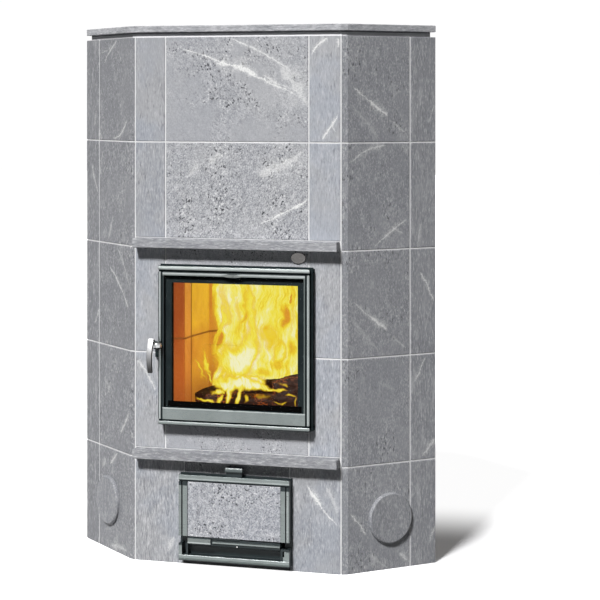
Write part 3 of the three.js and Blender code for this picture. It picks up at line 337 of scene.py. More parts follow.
def finish_stone(name, pits, grain, patches, stretch, tone=GREY, cool=COOL, light=1.0, slant=0.0, level=False,
                 face=FRONT_FACE):
    """Gives a stone its own cut of the rock, as light as its level of grey, and its veins. Its grain
    is stretched up the slab, or along it when level, and leans by the slant."""
    material, tree, place = new_material(f"soapstone_{name}")
    shift = tuple(draw.uniform(-9, 9, 3))                                   # where in the rock it was cut
    cut = mapped(tree, place, Location=shift)
    lines = mapped(tree, place, "TEXTURE", Location=shift, Rotation=(0, radians(slant), 0),
                   Scale=(stretch, stretch, 1) if level else (1, 1, stretch))
    tone, cool = ([channel * light for channel in shade] for shade in (tone, cool))
    pattern = use_group(tree, rock, {
        "Place": cut, "Grain Place": lines, "Tone": tone, "Cool": cool, "Pits": pits, "Grain": grain,
        "Patches": patches})
    color = pattern["Color"]
    (x0, y0), (dx, dy) = face
    for along, up, angle, length, width, strength, bend in STONE_VEINS.get(name, ()):
        along, c, s = along / 1000, cos(radians(angle)), sin(radians(angle))
        mask = use_group(tree, vein, {
            "Place": place, "Middle": (x0 + dx * along, y0 + dy * along, up / 1000),
            "Along": (dx * c, dy * c, s), "Across": (-dx * s, -dy * s, c),
            "Half Length": length / 1000, "Half Width": width / 1000, "Bend": bend})["Mask"]
        color = mix(tree, times(tree, mask, strength), color, (0.86, 0.86, 0.85))
    add_skin(tree, color, pattern["Roughness"], pattern["Height"], 0.0012, shine=0.35)
    finish_node(name, material)


SIDE_LOOK = {"tone": SIDE_GREY, "cool": SIDE_COOL}
# The side and rear stones' levels also paint light: the left ones, which face the key light, are darker, and
# the right ones, which it lights less, lighter.
STONE_LIGHTS = {                                   # from the lowest course upwards
    "left_front": (0.93, 1.0, 1.0, 0.86, 0.91), "right_front": (0.89, 1.0, 1.0, 1.0, 1.0),
    "left_side": (0.9, 0.9, 0.84, 0.9, 0.87), "right_side": (1.07, 1.07, 1.02, 1.06, 1.06)}
for number in range(1, 6):
    for hand, sign in HANDS:
        finish_stone(f"{hand}_front_stone_{number}", light=STONE_LIGHTS[f"{hand}_front"][number - 1],
                     cool=BLUE, pits=0.35, grain=0.72 - 0.07 * number, patches=0.5, stretch=5)
        finish_stone(f"{hand}_side_stone_{number}", light=STONE_LIGHTS[f"{hand}_side"][number - 1],
                     pits=0.7, grain=0.5, patches=0.6, stretch=2.4, face=SIDE_FACE[hand], **SIDE_LOOK)
# Rear stones: darker on the left and lighter on the right, as painted light like the side stones.
for hand, light in (("left", 0.81), ("right", 1.04)):
    finish_stone(f"{hand}_rear_stones", light=light, pits=0.2, grain=0.55, patches=0.4, stretch=5,
                 face=SIDE_FACE[hand], **SIDE_LOOK)
# The ash door lintel lies under the lower mantel; its level of 0.62 is the mantel's painted shade.
for name, light in (("ash_door_lintel", 0.62), ("fire_door_sill", 1.0), ("fire_door_lintel", 1.2),
                    ("middle_front_stone_5", 1.0)):
    finish_stone(name, light=light, pits=1.1, grain=0.6, patches=0.8, slant=-20, stretch=1.3)
finish_stone("middle_front_stone_4", pits=1.3, grain=1.0, patches=0.2, slant=25, stretch=1.5)
for name, light in (("lower_mantel", 0.83), ("upper_mantel", 0.95)):
    finish_stone(name, light=light, tone=(0.36, 0.365, 0.385), cool=(0.3, 0.307, 0.33), pits=0.1, grain=0.6,
                 patches=0.2, level=True, stretch=5)
finish_stone("cap_slab", tone=(0.46, 0.465, 0.485), cool=(0.4, 0.407, 0.43), pits=0.2, grain=0.7,
             patches=0.1, level=True, stretch=5)


# Mortar: pale, sandy lime mortar in the joints. The set-back band under the cap is greyer, and
# its top is painted nearly black, as painted shade under the cap.
FAR = 999                                          # millimetres, past every side of the stove
region, given, ends = new_group("painted_region", {"Place": VECTOR, "Low": VECTOR, "High": VECTOR},
                                {"Mask": NUMBER})
inside = 1.0
for first, second in (("Place", "Low"), ("High", "Place")):
    for past in axes_of(region, vectors(region, "SUBTRACT", given[first], given[second])):
        inside = times(region, inside, ramp(region, past, 0.0, 0.0003))
put_out(region, ends, Mask=inside)


def within(tree, place, low, high):
    """The mask of a box between two corners, in millimetres from the middle of the front face."""
    low, high = ([c / 1000 + o for c, o in zip(corner, (0, FRONT_Y, 0))] for corner in (low, high))
    return use_group(tree, region, {"Place": place, "Low": low, "High": high})["Mask"]


def patch(left, right, low, high, back=99):
    """The region between two sides and two heights, from before the stove to this far back."""
    return (left, -99, low), (right, back, high)


def painted(tree, place, color, regions):
    """The colour, with another tone in each of the regions, which are ((low corner, high corner), tone)."""
    for (low, high), tone in regions:
        color = mix(tree, within(tree, place, low, high), color, tone)
    return color


def clouded(tree, place, scale, first, second, detail=5, rough=0.65, low=0.35, high=0.68):
    """A colour that clouds between two tones."""
    return mix(tree, ramp(tree, noise(tree, place, scale, detail, rough), low, high), first, second)


def rough_material(name, first, second, scale, roughness, depth, metallic=0.0, paints=()):
    """A matt surface whose colour clouds between two tones, with fine sandy relief."""
    material, tree, place = new_material(name)
    color = painted(tree, place, clouded(tree, place, scale, first, second), paints)
    sand = noise(tree, place, scale * 12, 3, 0.7)
    rough = ramp(tree, sand, 0.3, 0.7, roughness - 0.08, roughness + 0.08)
    add_skin(tree, color, rough, sand, depth, metallic=metallic)
    return material


# Heights of the band's greyer foot, of the part above it that is painted nearly black as the cap's shade, and
# of the top, in millimetres.
BAND_FOOT, BAND_SHADE, BAND_TOP = 1582.5, 1590.2, 1700
lime_mortar = rough_material("lime_mortar", (0.80, 0.80, 0.81), (0.9, 0.9, 0.9), 30, 0.85, 0.0004, paints=[
    (patch(-FAR, FAR, BAND_FOOT, BAND_TOP, FAR), (0.5, 0.505, 0.52)),
    (patch(-FAR, FAR, BAND_SHADE, BAND_TOP, FAR), (0.1, 0.102, 0.108))])
finish_node("mortar", lime_mortar)


# Masonry core: firebricks laid in clay behind the cladding, bare at the walls of the room corner.
# The slab under the stove is cast in grey concrete.
core_finish, tree, place = new_material("core_masonry")
axes = axes_of(tree, place)
wall_place = add_node(tree, "ShaderNodeCombineXYZ", {       # a step along a 45 degree face is 1.414 of x
    "X": times(tree, axes["X"], sqrt(2)), "Y": axes["Z"]}).outputs[0]
waver = vectors(tree, "SCALE", noise(tree, place, 12, output="Color"), Scale=0.004)
wall_place = vectors(tree, "ADD", wall_place, waver)
bricks = add_node(tree, "ShaderNodeTexBrick", {
    "Vector": wall_place, "Color1": (0.36, 0.19, 0.1), "Color2": (0.52, 0.31, 0.17),
    "Mortar": (0.42, 0.38, 0.33), "Scale": 1.0, "Mortar Size": 0.003, "Mortar Smooth": 0.3, "Bias": 0.0,
    "Brick Width": 0.25, "Row Height": 0.124}).outputs
sand = noise(tree, place, 220, 3, 0.7)
soot = ramp(tree, noise(tree, place, 14, 5, 0.65), 0.35, 0.7, 0.0, 0.45)
color = mix(tree, soot, bricks["Color"], (0.24, 0.14, 0.09))
color = mix(tree, ramp(tree, sand, 0.55, 0.72, 0.0, 0.35), color, (0.62, 0.5, 0.38))
height = maths(tree, "SUBTRACT", times(tree, sand, 0.3), bricks["Fac"])
add_skin(tree, color, ramp(tree, sand, 0.3, 0.7, 0.78, 0.93), height, 0.002, 0.7)
for name in ("left_core", "right_core", "rear_core", "crown_block", "hearth_block"):
    finish_node(name, core_finish)
concrete = rough_material("concrete", (0.10, 0.103, 0.11), (0.15, 0.153, 0.16), 22, 0.85, 0.0006)
finish_node("base_slab", concrete)


# Firebox lining: two rows of fitted firebricks, splayed towards the rear wall, with narrow open
# joints. They are cast in light fireclay, with dark open joints, and glow with painted firelight
# that is darker low down and dimmed in sooty patches.
def surface(name, grids, material, body="root", replaces=()):
    """A closed piece from numpy grids of points. A grid's rows are rings round the piece and its
    first and last rings shrink to a point, so each grid closes on itself."""
    points, faces, uvs, base = [], [], [], 0
    for grid in grids:
        rows, columns = grid.shape[:2]
        index = base + np.arange(rows * columns).reshape(rows, columns)
        ring = np.roll(index, -1, axis=1)
        faces.append(np.stack([index[:-1], ring[:-1], ring[1:], index[1:]], axis=-1).reshape(-1, 4))
        points.append(grid.reshape(-1, 3))
        across, up = np.meshgrid(np.linspace(0, 1, columns, endpoint=False), np.linspace(0, 1, rows))
        uvs.append(np.stack([0.5 - 0.5 * np.cos(2 * pi * across), up], axis=-1).reshape(-1, 2))
        base += rows * columns
    faces, points, uvs = np.concatenate(faces), np.concatenate(points), np.concatenate(uvs)
    mesh = bpy.data.meshes.new(name)
    mesh.from_pydata(points.tolist(), [], faces.tolist())
    mesh.uv_layers.new(name="grid").data.foreach_set("uv", uvs[faces.reshape(-1)].reshape(-1))
    mesh.polygons.foreach_set("use_smooth", np.ones(len(faces), dtype=bool))
    mesh.materials.append(material)
    piece = add_object(name, mesh)
    weld = piece.modifiers.new("weld", "WELD")
    weld.merge_threshold = 1e-6
    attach(piece, body)
    for node in replaces:
        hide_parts(node)


def slab_grid(outline, low, high, round_by=0.0015):
    """A slab with a plan outline, closed by caps, its edges rounded by a small inset ring at the
    foot and the top. The outline runs anticlockwise, in millimetres from the front face."""
    plan = np.array(outline, dtype=float) / 1000 + (0, FRONT_Y)
    steps = np.linspace(0, 1, 6, endpoint=False)[:, None]
    plan = np.concatenate([p * (1 - steps) + q * steps for p, q in zip(plan, np.roll(plan, -1, axis=0))])
    middle = plan.mean(axis=0)
    inner = middle + (plan - middle) * (1 - round_by / np.abs(plan - middle).max())
    point = middle + (plan - middle) * 0
    rings = [(point, low), (inner, low), (plan, low + round_by), (plan, high - round_by), (inner, high),
             (point, high)]
    return np.stack([np.column_stack([ring, np.full(len(ring), z)]) for ring, z in rings])


brick_finish, tree, place = new_material("firebrick_painted_firelight")
axes = axes_of(tree, place)
soot = noise(tree, place, 9, 4, 0.6, 0.4)
grit = noise(tree, place, 260, 3, 0.7)
color = mix(tree, ramp(tree, grit, 0.35, 0.65), (0.2, 0.11, 0.06), (0.3, 0.18, 0.1))
# The glow is painted firelight: tones of the fire's colours on the jamb, the front brick and the walls, each
# changing with height.
low_down = ramp(tree, axes["Z"], 0.74, 0.5)
jamb = mix(tree, low_down, (0.26, 0.034, 0.01), (0.43, 0.085, 0.014))
front = mix(tree, low_down, (0.66, 0.28, 0.036), (0.58, 0.2, 0.03))
wall = mix(tree, ramp(tree, axes["Z"], 0.7, 0.64), (0.78, 0.46, 0.026), (0.66, 0.31, 0.024))
wall = mix(tree, ramp(tree, axes["Y"], FRONT_Y + 0.342, FRONT_Y + 0.346), wall, (0.6, 0.25, 0.024))
painted_firelight = jamb
for near, far, tone in ((0.1429, 0.1433, front), (0.2066, 0.2078, wall)):
    painted_firelight = mix(tree, ramp(tree, axes["Y"], FRONT_Y + near, FRONT_Y + far), painted_firelight, tone)
# Sooty patches dim the painted firelight.
painted_firelight = mix(tree, ramp(tree, soot, 0.42, 0.72, 0, 0.35), painted_firelight, (0.36, 0.09, 0.012))
level = lerp(tree, axes["Y"], 0.673, 0.6555, FRONT_Y, FRONT_Y + 0.15)      # where one row's top is seen
joint = ramp(tree, apart(tree, axes["Z"], level), 0.005, 0.0015, 0, 0.8)
upright = ramp(tree, apart(tree, axes["Y"], FRONT_Y + 0.2075), 0.007, 0.002, 0, 0.7)
painted_firelight = mix(tree, maths(tree, "MAXIMUM", joint, upright), painted_firelight, (0.09, 0.02, 0.006))
# Painted shade: the firelight darkens towards the foot of the lining.
painted_firelight = mix(tree, ramp(tree, axes["Z"], 0.57, 0.46, 0, 0.65), painted_firelight, (0.26, 0.06, 0.012))
add_skin(tree, color, ramp(tree, grit, 0.3, 0.7, 0.8, 0.95), grit, 0.0008, 0.5, shine=0.1, glow=painted_firelight,
         glow_strength=0.92)

LINING = {                                         # plan outlines, for the left hand side
    "jamb_brick": [(-211, 4), (-206.5, 4), (-205.3, 142.8), (-211, 142.8)],
    "front_brick": [(-211, 143.2), (-205.3, 143.2), (-204.5, 206.5), (-211, 206.5)],
    "splayed_brick": [(-211, 208.5), (-204, 208.5), (-187.5, 342), (-211, 342)],
    "corner_brick": [(-211, 344), (-186.5, 344), (-150.5, 396), (-150.5, 419), (-211, 419)],
}
REAR_BRICK = [(-148.5, 398), (148.5, 398), (148.5, 419), (-148.5, 419)]
for row, (low, high) in (("lower", (0.4315, 0.6546)), ("upper", (0.6554, 0.9035))):
    for name, outline in LINING.items():
        for hand, sign in HANDS:
            plan = [(-sign * x, y) for x, y in outline][::-sign]
            surface(f"{row}_{hand}_{name}", [slab_grid(plan, low, high)], brick_finish)
    surface(f"{row}_rear_brick", [slab_grid(REAR_BRICK, low, high)], brick_finish)


# Firewood: five split logs burning over a bed of embers. The wood is charred into deep blocks,
# with the fire glowing in the cracks between them.
def turns(count):
    """Even steps once round a circle."""
    return np.linspace(0, 2 * pi, count, endpoint=False)


def log_grid(start, end, radius, seed, bow=0.0):
    """A split log: rings carried from start to end along a bowed line. The radius swells and dips
    with sums of waves round the log and along it, and falls to nothing at both sawn ends."""
    start, end = (np.array(p, dtype=float) / 1000 + (0, FRONT_Y, 0) for p in (start, end))
    rings = np.concatenate([[0, 0.0005], np.linspace(0.012, 0.988, 70), [0.9995, 1]])
    turn = turns(60)
    shape = np.random.default_rng(seed)
    r = np.ones((len(rings), len(turn)))
    for waves, swing, steps in ((2, 0.10, 2), (3, 0.09, 3), (5, 0.05, 7), (9, 0.035, 17), (14, 0.03, 31),
                                (20, 0.02, 47)):
        r += swing * np.cos(waves * turn[None] + shape.uniform(0, 6.3) + shape.uniform(0.6, 1.6) *
                            np.sin(steps * rings[:, None] + shape.uniform(0, 6.3))) * \
            (0.7 + 0.3 * np.sin(steps * 2 * rings[:, None] + shape.uniform(0, 6.3)))
    r -= 0.22 * np.clip(np.cos(turn[None] + shape.uniform(0, 6.3)), 0.2, 1)      # the split side
    ends = np.interp(rings, [0, 0.0005, 0.012, 0.988, 0.9995, 1], [0, 0.86, 1, 1, 0.86, 0])
    r *= radius / 1000 * ends[:, None]
    way = end - start
    ahead = way / np.linalg.norm(way)
    side = np.cross((0, 0, 1), ahead)
    side /= np.linalg.norm(side)
    up = np.cross(ahead, side)
    middle = start + rings[:, None] * way + up * (bow * np.sin(pi * rings))[:, None] / 1000
    return middle[:, None] + r[..., None] * (np.cos(turn)[None, :, None] * side +
                                             np.sin(turn)[None, :, None] * up)


charred, tree, place = new_material("charred_wood")
blocks = mapped(tree, place, Scale=(0.7, 1, 1.2))
blocks = add_node(tree, "ShaderNodeTexVoronoi", {"Vector": blocks, "Scale": 95.0},
                  feature="DISTANCE_TO_EDGE").outputs["Distance"]
crack = ramp(tree, blocks, 0.07, 0.0)
hot = ramp(tree, noise(tree, place, 15, 3, 0.6), 0.5, 0.64)
ash = ramp(tree, noise(tree, place, 60, 4, 0.7), 0.5, 0.72)
color = mix(tree, ash, (0.014, 0.009, 0.007), (0.09, 0.045, 0.03))
glow = mix(tree, crack, (0.03, 0.006, 0.002), (0.6, 0.12, 0.01))
glow = mix(tree, hot, (0.014, 0.004, 0.002), glow)
add_skin(tree, color, ramp(tree, ash, 0, 1, 0.7, 0.95), blocks, 0.002, 0.8, shine=0.2, glow=glow,
         glow_strength=1.0)
for name, start, end, radius, seed, bow in (
        ("front_log", (-150, 186, 458), (168, 224, 464), 25, 3, 4),
        ("rear_log", (-140, 322, 470), (150, 300, 474), 36, 5, 4),
        ("cross_log", (-80, 215, 486), (70, 345, 500), 21, 8, 3),
        ("right_log", (62, 216, 488), (188, 284, 524), 33, 12, 3),
        ("short_log", (-186, 230, 456), (-128, 372, 470), 23, 21, 2)):
    surface(name, [log_grid(start, end, radius, seed, bow)], charred)


def ember_grid(rows=70, columns=120):
    """A low heap of embers: rings shrinking to its middle, whose height is a dome with the lumps of
    several crossed waves, on a flat underside."""
    lumps = np.random.default_rng(4)
    reach = np.concatenate([[0], np.linspace(0.02, 1, rows // 6), np.linspace(1, 0, rows)])
    turn = turns(columns)
    x = 0.178 * reach[:, None] * np.sign(np.cos(turn)) * np.abs(np.cos(turn)) ** 0.6
    y = 0.128 * reach[:, None] * np.sign(np.sin(turn)) * np.abs(np.sin(turn)) ** 0.6
    height = 0.018 * (1 - reach[:, None] ** 3) * np.ones_like(x)
    for step in (60, 95, 150, 230, 340):
        angle, start, drift = lumps.uniform(0, 6.3, 3)
        way_across = x * sin(angle) - y * cos(angle)
        height += (0.11 / step) * np.sin(step * (x * cos(angle) + y * sin(angle)) + start +
                                         2 * np.sin(step * 0.6 * way_across + drift))
    height = 0.0015 + np.clip(height, 0, None) * (1 - reach[:, None] ** 6)
    height[:1 + rows // 6] = 0
    return np.stack([x, y + FRONT_Y + 0.245, 0.4308 + height], axis=-1)


embers, tree, place = new_material("glowing_embers")
lumps = add_node(tree, "ShaderNodeTexVoronoi", {"Vector": place, "Scale": 75.0}).outputs["Distance"]
hot = ramp(tree, noise(tree, place, 17, 3, 0.6), 0.4, 0.6)
glow = mix(tree, ramp(tree, lumps, 0.35, 0.75), (0.45, 0.05, 0.0), (1.0, 0.42, 0.06))
glow = mix(tree, hot, (0.03, 0.0, 0.0), glow)
color = clouded(tree, place, 120, (0.02, 0.015, 0.014), (0.3, 0.27, 0.25), 3, 0.7, 0.4, 0.65)
add_skin(tree, color, ramp(tree, hot, 0, 1, 0.95, 0.8), lumps, 0.003, 0.9, glow=glow, glow_strength=0.7)
surface("ember_bed", [ember_grid()], embers)


# Flames: three thin curtains of fire behind each other, see-through where they thin out. Their streaks
# rise from noise that is stretched upwards, and leans and curls by slower noises.
def curtain_grid(x0, x1, y, low, high, wave, seed):
    """A thin upright sheet: flat oval rings from the foot to the top, pushed to and fro by waves
    that grow upwards, and narrowing to a point at the foot and the top."""
    up = np.concatenate([[0], np.linspace(0.004, 0.996, 60), [1]])
    turn = turns(120)
    shift = np.random.default_rng(seed).uniform(0, 6.3, 3)
    middle, half = (x0 + x1) / 2, (x1 - x0) / 2
    narrow = np.interp(up, [0, 0.004, 0.996, 1], [0, 1, 1, 0])[:, None]
    x = middle + half * narrow * np.cos(turn)
    push = wave * (0.3 + 0.7 * up[:, None]) * (np.sin(5 * x / half + 4 * up[:, None] + shift[0]) +
                                              0.5 * np.sin(11 * x / half - 7 * up[:, None] + shift[1]))
    depth = y + push + 0.6 * narrow * np.sin(turn)
    return np.stack([x / 1000, FRONT_Y + depth / 1000,
                     (low + (high - low) * up[:, None] + 0 * x) / 1000], axis=-1)


spot, given, ends = new_group("soft_spot", {"Place": VECTOR, "Middle": VECTOR, "Reach": VECTOR},
                              {"Mask": NUMBER})
offset = vectors(spot, "SUBTRACT", given["Place"], given["Middle"])
offset = vectors(spot, "DIVIDE", offset, given["Reach"])
put_out(spot, ends, Mask=ramp(spot, vectors(spot, "LENGTH", offset, output="Value"), 1.0, 0.2))


def shade_ramp(tree, value, stops):
    """A colour that passes through the stops (position, colour) as value rises from 0 to 1."""
    made = add_node(tree, "ShaderNodeValToRGB", {0: value})
    shades = made.color_ramp.elements
    for shade, (position, color) in ((shades[0], stops[0]), (shades[1], stops[-1])):
        shade.position, shade.color = position, (*color, 1)
    for position, color in stops[1:-1]:
        shades.new(position).color = (*color, 1)
    return made.outputs["Color"]


def flame_finish(name, body, shift, lean, swing, coolest, spots):
    """Fire whose heat sets its colour, from the coolest tone through yellow to near white, and how
    much it hides. Its body is even, with spots (x, height, half width, half height, strength) in
    millimetres, faded out at the curtain's ends; the heat is the body times broad and fine streaks
    that rise, lean and curl by the swing."""
    material, tree, place = new_material(name)
    place = mapped(tree, place, Location=shift)
    bent = place
    for scale, across, upward in ((7.0, 0.1, 0.05), (24.0, 0.03, 0.03), (60.0, 0.008, 0.008)):
        bend = vectors(tree, "SUBTRACT", noise(tree, place, scale, 2, output="Color"), (0.5, 0.5, 0.5))
        bend = vectors(tree, "MULTIPLY", bend, (across * swing, 0.0, upward * swing))
        bent = vectors(tree, "ADD", bent, bend)
    rising = mapped(tree, bent, Rotation=(0, radians(lean), 0), Scale=(1, 0.3, 0.17))
    warped = vectors(tree, "SUBTRACT", bent, shift)
    for x, z, half_x, half_z, strength in spots:
        mask = use_group(tree, spot, {
            "Place": warped, "Middle": (x / 1000, FRONT_Y + 0.26, z / 1000),
            "Reach": (half_x / 1000, 1.0, half_z / 1000)})["Mask"]
        body = maths(tree, "ADD", body, times(tree, mask, strength))
    body = maths(tree, "MINIMUM", maths(tree, "MAXIMUM", body, 0.0), 1.15)
    ends = maths(tree, "ABSOLUTE", axes_of(tree, warped)["X"])
    body = times(tree, body, ramp(tree, ends, 0.186, 0.155))
    streaks = times(tree, maths(tree, "SUBTRACT", noise(tree, rising, 30, 3, 0.5), 0.5), 1.3)
    wisps = times(tree, maths(tree, "SUBTRACT", noise(tree, rising, 110, 4, 0.7), 0.5), 1.5)
    heat = times(tree, body, maths(tree, "ADD", maths(tree, "ADD", streaks, wisps), 0.8))
    glow = shade_ramp(tree, heat, [(0.0, coolest), (0.35, (0.9, 0.63, 0.03)), (0.6, (0.94, 0.8, 0.07)),
                                   (0.8, (0.95, 0.87, 0.24)), (1.0, (0.97, 0.94, 0.58))])
    add_skin(tree, (0, 0, 0), 1.0, shine=0.0, glow=glow, glow_strength=1.0, alpha=ramp(tree, heat, 0.0, 0.7))
    return material


AMBER, YELLOW = (0.64, 0.27, 0.02), (0.82, 0.36, 0.025)
surface("rear_flames", [curtain_grid(-178, 178, 352, 470, 896, 6, 2)], flame_finish(
    "rear_fire", 0.88, (0.3, 0, 1.7), 6, 1.0, AMBER, [
        (56, 717, 19, 50, -0.8), (76, 614, 26, 44, -0.5), (-168, 624, 30, 32, -0.95),
        (-25, 525, 36, 22, -0.45), (79, 775, 13, 82, -0.35), (-84, 707, 10, 22, -0.5),
        (4, 672, 13, 16, -0.4), (69, 771, 6, 25, -0.8), (-180, 538, 23, 51, -0.8), (27, 553, 39, 25, -0.35),
        (-166, 755, 13, 127, -0.25), (99, 669, 10, 94, -0.4)]))
surface("middle_flames", [curtain_grid(-184, 178, 262, 452, 892, 10, 6)], flame_finish(
    "middle_fire", 0.0, (2.1, 0, 0.4), 10, 1.1, YELLOW, [
        (-85, 573, 81, 78, 1.2), (-14, 731, 26, 131, 0.7), (-36, 628, 35, 87, 0.8), (60, 609, 26, 46, 1),
        (-120, 740, 26, 106, 0.5), (-69, 729, 19, 81, 0.35), (-171, 569, 11, 53, 1.2),
        (-192, 554, 23, 7, 1), (-10, 510, 64, 25, 1.2), (105, 726, 10, 99, 0.3), (28, 652, 38, 56, 0.4),
        (-62, 505, 65, 25, 1), (-130, 671, 13, 94, 0.7)]))
surface("front_flames", [curtain_grid(-196, 178, 150, 440, 640, 7, 9)], flame_finish(
    "front_fire", 0.0, (4.2, 0, 3.1), 0, 1.3, YELLOW, [
        (-72, 490, 16, 40, 1.05), (-31, 486, 13, 34, 0.95), (-66, 527, 95, 31, 1.15),
        (-149, 471, 38, 9, 0.75), (-165, 572, 5, 37, 0.8), (-120, 500, 38, 12, 0.9), (29, 519, 57, 18, 1),
        (127, 493, 28, 7, 0.55), (145, 475, 5, 24, 0.5), (92, 470, 31, 5, 0.35), (80, 512, 50, 9, 0.65),
        (-184, 491, 19, 5, 0.8), (-142, 548, 7, 31, 0.8), (-8, 535, 44, 24, 1), (114, 532, 25, 8, 0.4),
        (-107, 476, 13, 21, 0.75), (-2, 481, 9, 18, 0.55), (42, 486, 19, 12, 0.3)]))

# The fire's own light, as one warm lamp among the flames.
fire_light = add_object("fire_light", bpy.data.lights.new("fire_light", "POINT"))
fire_light.data.energy = 0.5
fire_light.data.color = (1.0, 0.42, 0.1)
fire_light.data.shadow_soft_size = 0.07
fire_light.location = (-0.03, FRONT_Y + 0.19, 0.62)


# Cast iron: the grate, the ash pan, the flue spigot and the tongue of the latch, bare and dark, with
# a fine sand-cast skin.
cast_iron = rough_material("cast_iron", (0.018, 0.022, 0.023), (0.034, 0.04, 0.042), 60, 0.5, 0.0003, 0.3)
for name in ("grate", "ash_pan", "flue_spigot", "latch_tongue"):
    finish_node(name, cast_iron)


# Satin metal: brushed grey-green bars and rails, with painted highlights along edges and painted
# shade along their grooves and under their edges. Their sawn sides and recesses are painted dark, as
# dark enamel and as painted shade; the ash door's frame is dark enamel but for its sill bar and brackets.
brushing, given, ends = new_group("brushed_skin", {"Place": VECTOR, "Tone": COLOR, "Stretch": VECTOR},
                                  {"Color": COLOR, "Roughness": NUMBER, "Height": NUMBER})
lines = noise(brushing, vectors(brushing, "MULTIPLY", given["Place"], given["Stretch"]), 900, 2, 0.6)
clouds = noise(brushing, given["Place"], 18, 4, 0.6)
color = mix(brushing, ramp(brushing, clouds, 0.3, 0.7, 0.14, 0.0), given["Tone"], (0, 0, 0))
color = mix(brushing, ramp(brushing, lines, 0.35, 0.65, 0.12, 0.0), color, (0.03, 0.03, 0.03))
put_out(brushing, ends, Color=color, Roughness=ramp(brushing, lines, 0.3, 0.7, 0.26, 0.38), Height=lines)

# Tones of the bars: plain metal, painted shade, painted highlight, a near-black painted shade for grooves and
# under edges, and the dark of enamel and of painted shade in recesses.
METAL, PAINTED_SHADE_METAL, PAINTED_HIGHLIGHT = (0.2, 0.225, 0.22), (0.11, 0.13, 0.125), (0.36, 0.39, 0.385)
PAINTED_DEEP_SHADE, ENAMEL_AND_SHADE = (0.035, 0.042, 0.042), (0.018, 0.026, 0.028)


def satin_metal(name, tone, enamel_and_shade=(), bright=None, paints=(), stretch=(0.04, 1.0, 1.0), rounding=0.0016,
                parts=None):
    """Brushed metal with worn, rounded edges, for the parts or the node of its own name. Each dark
    region, (low corner, high corner) in millimetres, is painted dark, as dark enamel and as painted
    shade in recesses and on sawn sides; or with bright regions, all but these is. Each paint is a
    region and the tone that it has; most paints are painted highlights or painted shade."""
    material, tree, place = new_material(name)
    tone = painted(tree, place, tone, paints)
    skin = use_group(tree, brushing, {"Place": place, "Tone": tone, "Stretch": stretch})
    covered = 0.0
    for low, high in (enamel_and_shade if bright is None else bright):
        covered = maths(tree, "MAXIMUM", covered, within(tree, place, low, high))
    if bright is not None:
        covered = maths(tree, "SUBTRACT", 1.0, covered)
    color = mix(tree, covered, skin["Color"], ENAMEL_AND_SHADE)
    rounded = add_node(tree, "ShaderNodeBevel", {"Radius": rounding}, samples=6).outputs[0]
    add_skin(tree, color, lerp(tree, covered, skin["Roughness"], 0.4), skin["Height"], 0.0001, 0.1, rounded,
             metallic=lerp(tree, covered, 0.85, 0.0), shine=0.25)
    for part in parts or [name]:
        finish_node(part, material)


def behind(out):
    """All that lies further back than a distance out from the front face."""
    return (-FAR, -out, -FAR), (FAR, FAR, 3 * FAR + 3)


def strip(low, high, side=FAR):
    """The region between two heights, as far out as a side."""
    return patch(-side, side, low, high)


# The top bar's light tone is a painted highlight and the strips below it are painted shade, darkest in the
# groove; the bottom bar has a painted highlight along its top and painted shade under it.
satin_metal("door_top_bar", (0.5, 0.54, 0.53), [behind(37.2)], paints=[
    (strip(870, 888), (0.26, 0.285, 0.28)), (strip(870, 884.3), PAINTED_DEEP_SHADE)])
satin_metal("door_bottom_bar", METAL, [behind(37.2)], paints=[
    (strip(427.2, 440), PAINTED_HIGHLIGHT), (strip(410, 422.5), PAINTED_DEEP_SHADE)])
# Each side bar has a painted highlight stripe and a dark edge of painted shade.
for name, lit, dark, parts in (
        ("left", (-229.6, -225.6), (-235, -229.8), ["door_left_bar_lower", "door_left_bar_upper"]),
        ("right", (226, 229.8), (223, 224.4), ["door_right_bar"])):
    satin_metal(f"{name}_door_bars", METAL, [behind(37.2)], stretch=(1.0, 1.0, 0.04), parts=parts, paints=[
        (patch(*lit, 0, FAR), PAINTED_HIGHLIGHT), (patch(*dark, 0, FAR), PAINTED_DEEP_SHADE)])
# The retainer's top strip and lower edge are painted lighter as highlights, and its right side darker as
# painted shade.
satin_metal("glass_retainer", METAL, [
    behind(36.4), patch(-220, -212, 472, 865.5), strip(874.6, 899)], paints=[
    (strip(870, 880), (0.4, 0.43, 0.425)), (strip(467.8, 472), PAINTED_HIGHLIGHT),
    (patch(212, 220, 472, 866), PAINTED_SHADE_METAL)])
satin_metal("air_wash_tab", (0.2, 0.215, 0.21), [behind(38.9), strip(850, 865.2), strip(873.4, 890)],
            rounding=0.003)
# On the ash door leaf, a lighter band on the top bar and the right rim are painted highlights; a band by the
# grip and the line over the lip are painted shade.
satin_metal("ash_door_leaf", METAL, [
    behind(31.3), patch(-159.4, -157.4, 70, 258), patch(157.4, 159.4, 70, 258), strip(240, 258.4),
    strip(50, 69.5, 142)], paints=[
    (strip(259, 263), (0.3, 0.33, 0.325)), (strip(280, 290), PAINTED_SHADE_METAL),
    (patch(159.4, 165, 70, 254), PAINTED_HIGHLIGHT), (strip(77.6, 86, 142), PAINTED_DEEP_SHADE), (strip(69.5, 77.6, 142), METAL)])
# The slider's lighter strip is a painted highlight.
satin_metal("air_slider", (0.17, 0.19, 0.185), [behind(33.4), strip(84.5, 90), strip(60, 70)], paints=[
    (strip(66, 74), PAINTED_HIGHLIGHT)])
# The grip is lit on top as a painted highlight and painted darker below, to a near-black neck of painted
# shade.
satin_metal("ash_door_grip", (0.32, 0.345, 0.34), [behind(29)], paints=[
    (strip(280, 296), (0.1, 0.115, 0.115)), (strip(280, 289.5), PAINTED_DEEP_SHADE)])
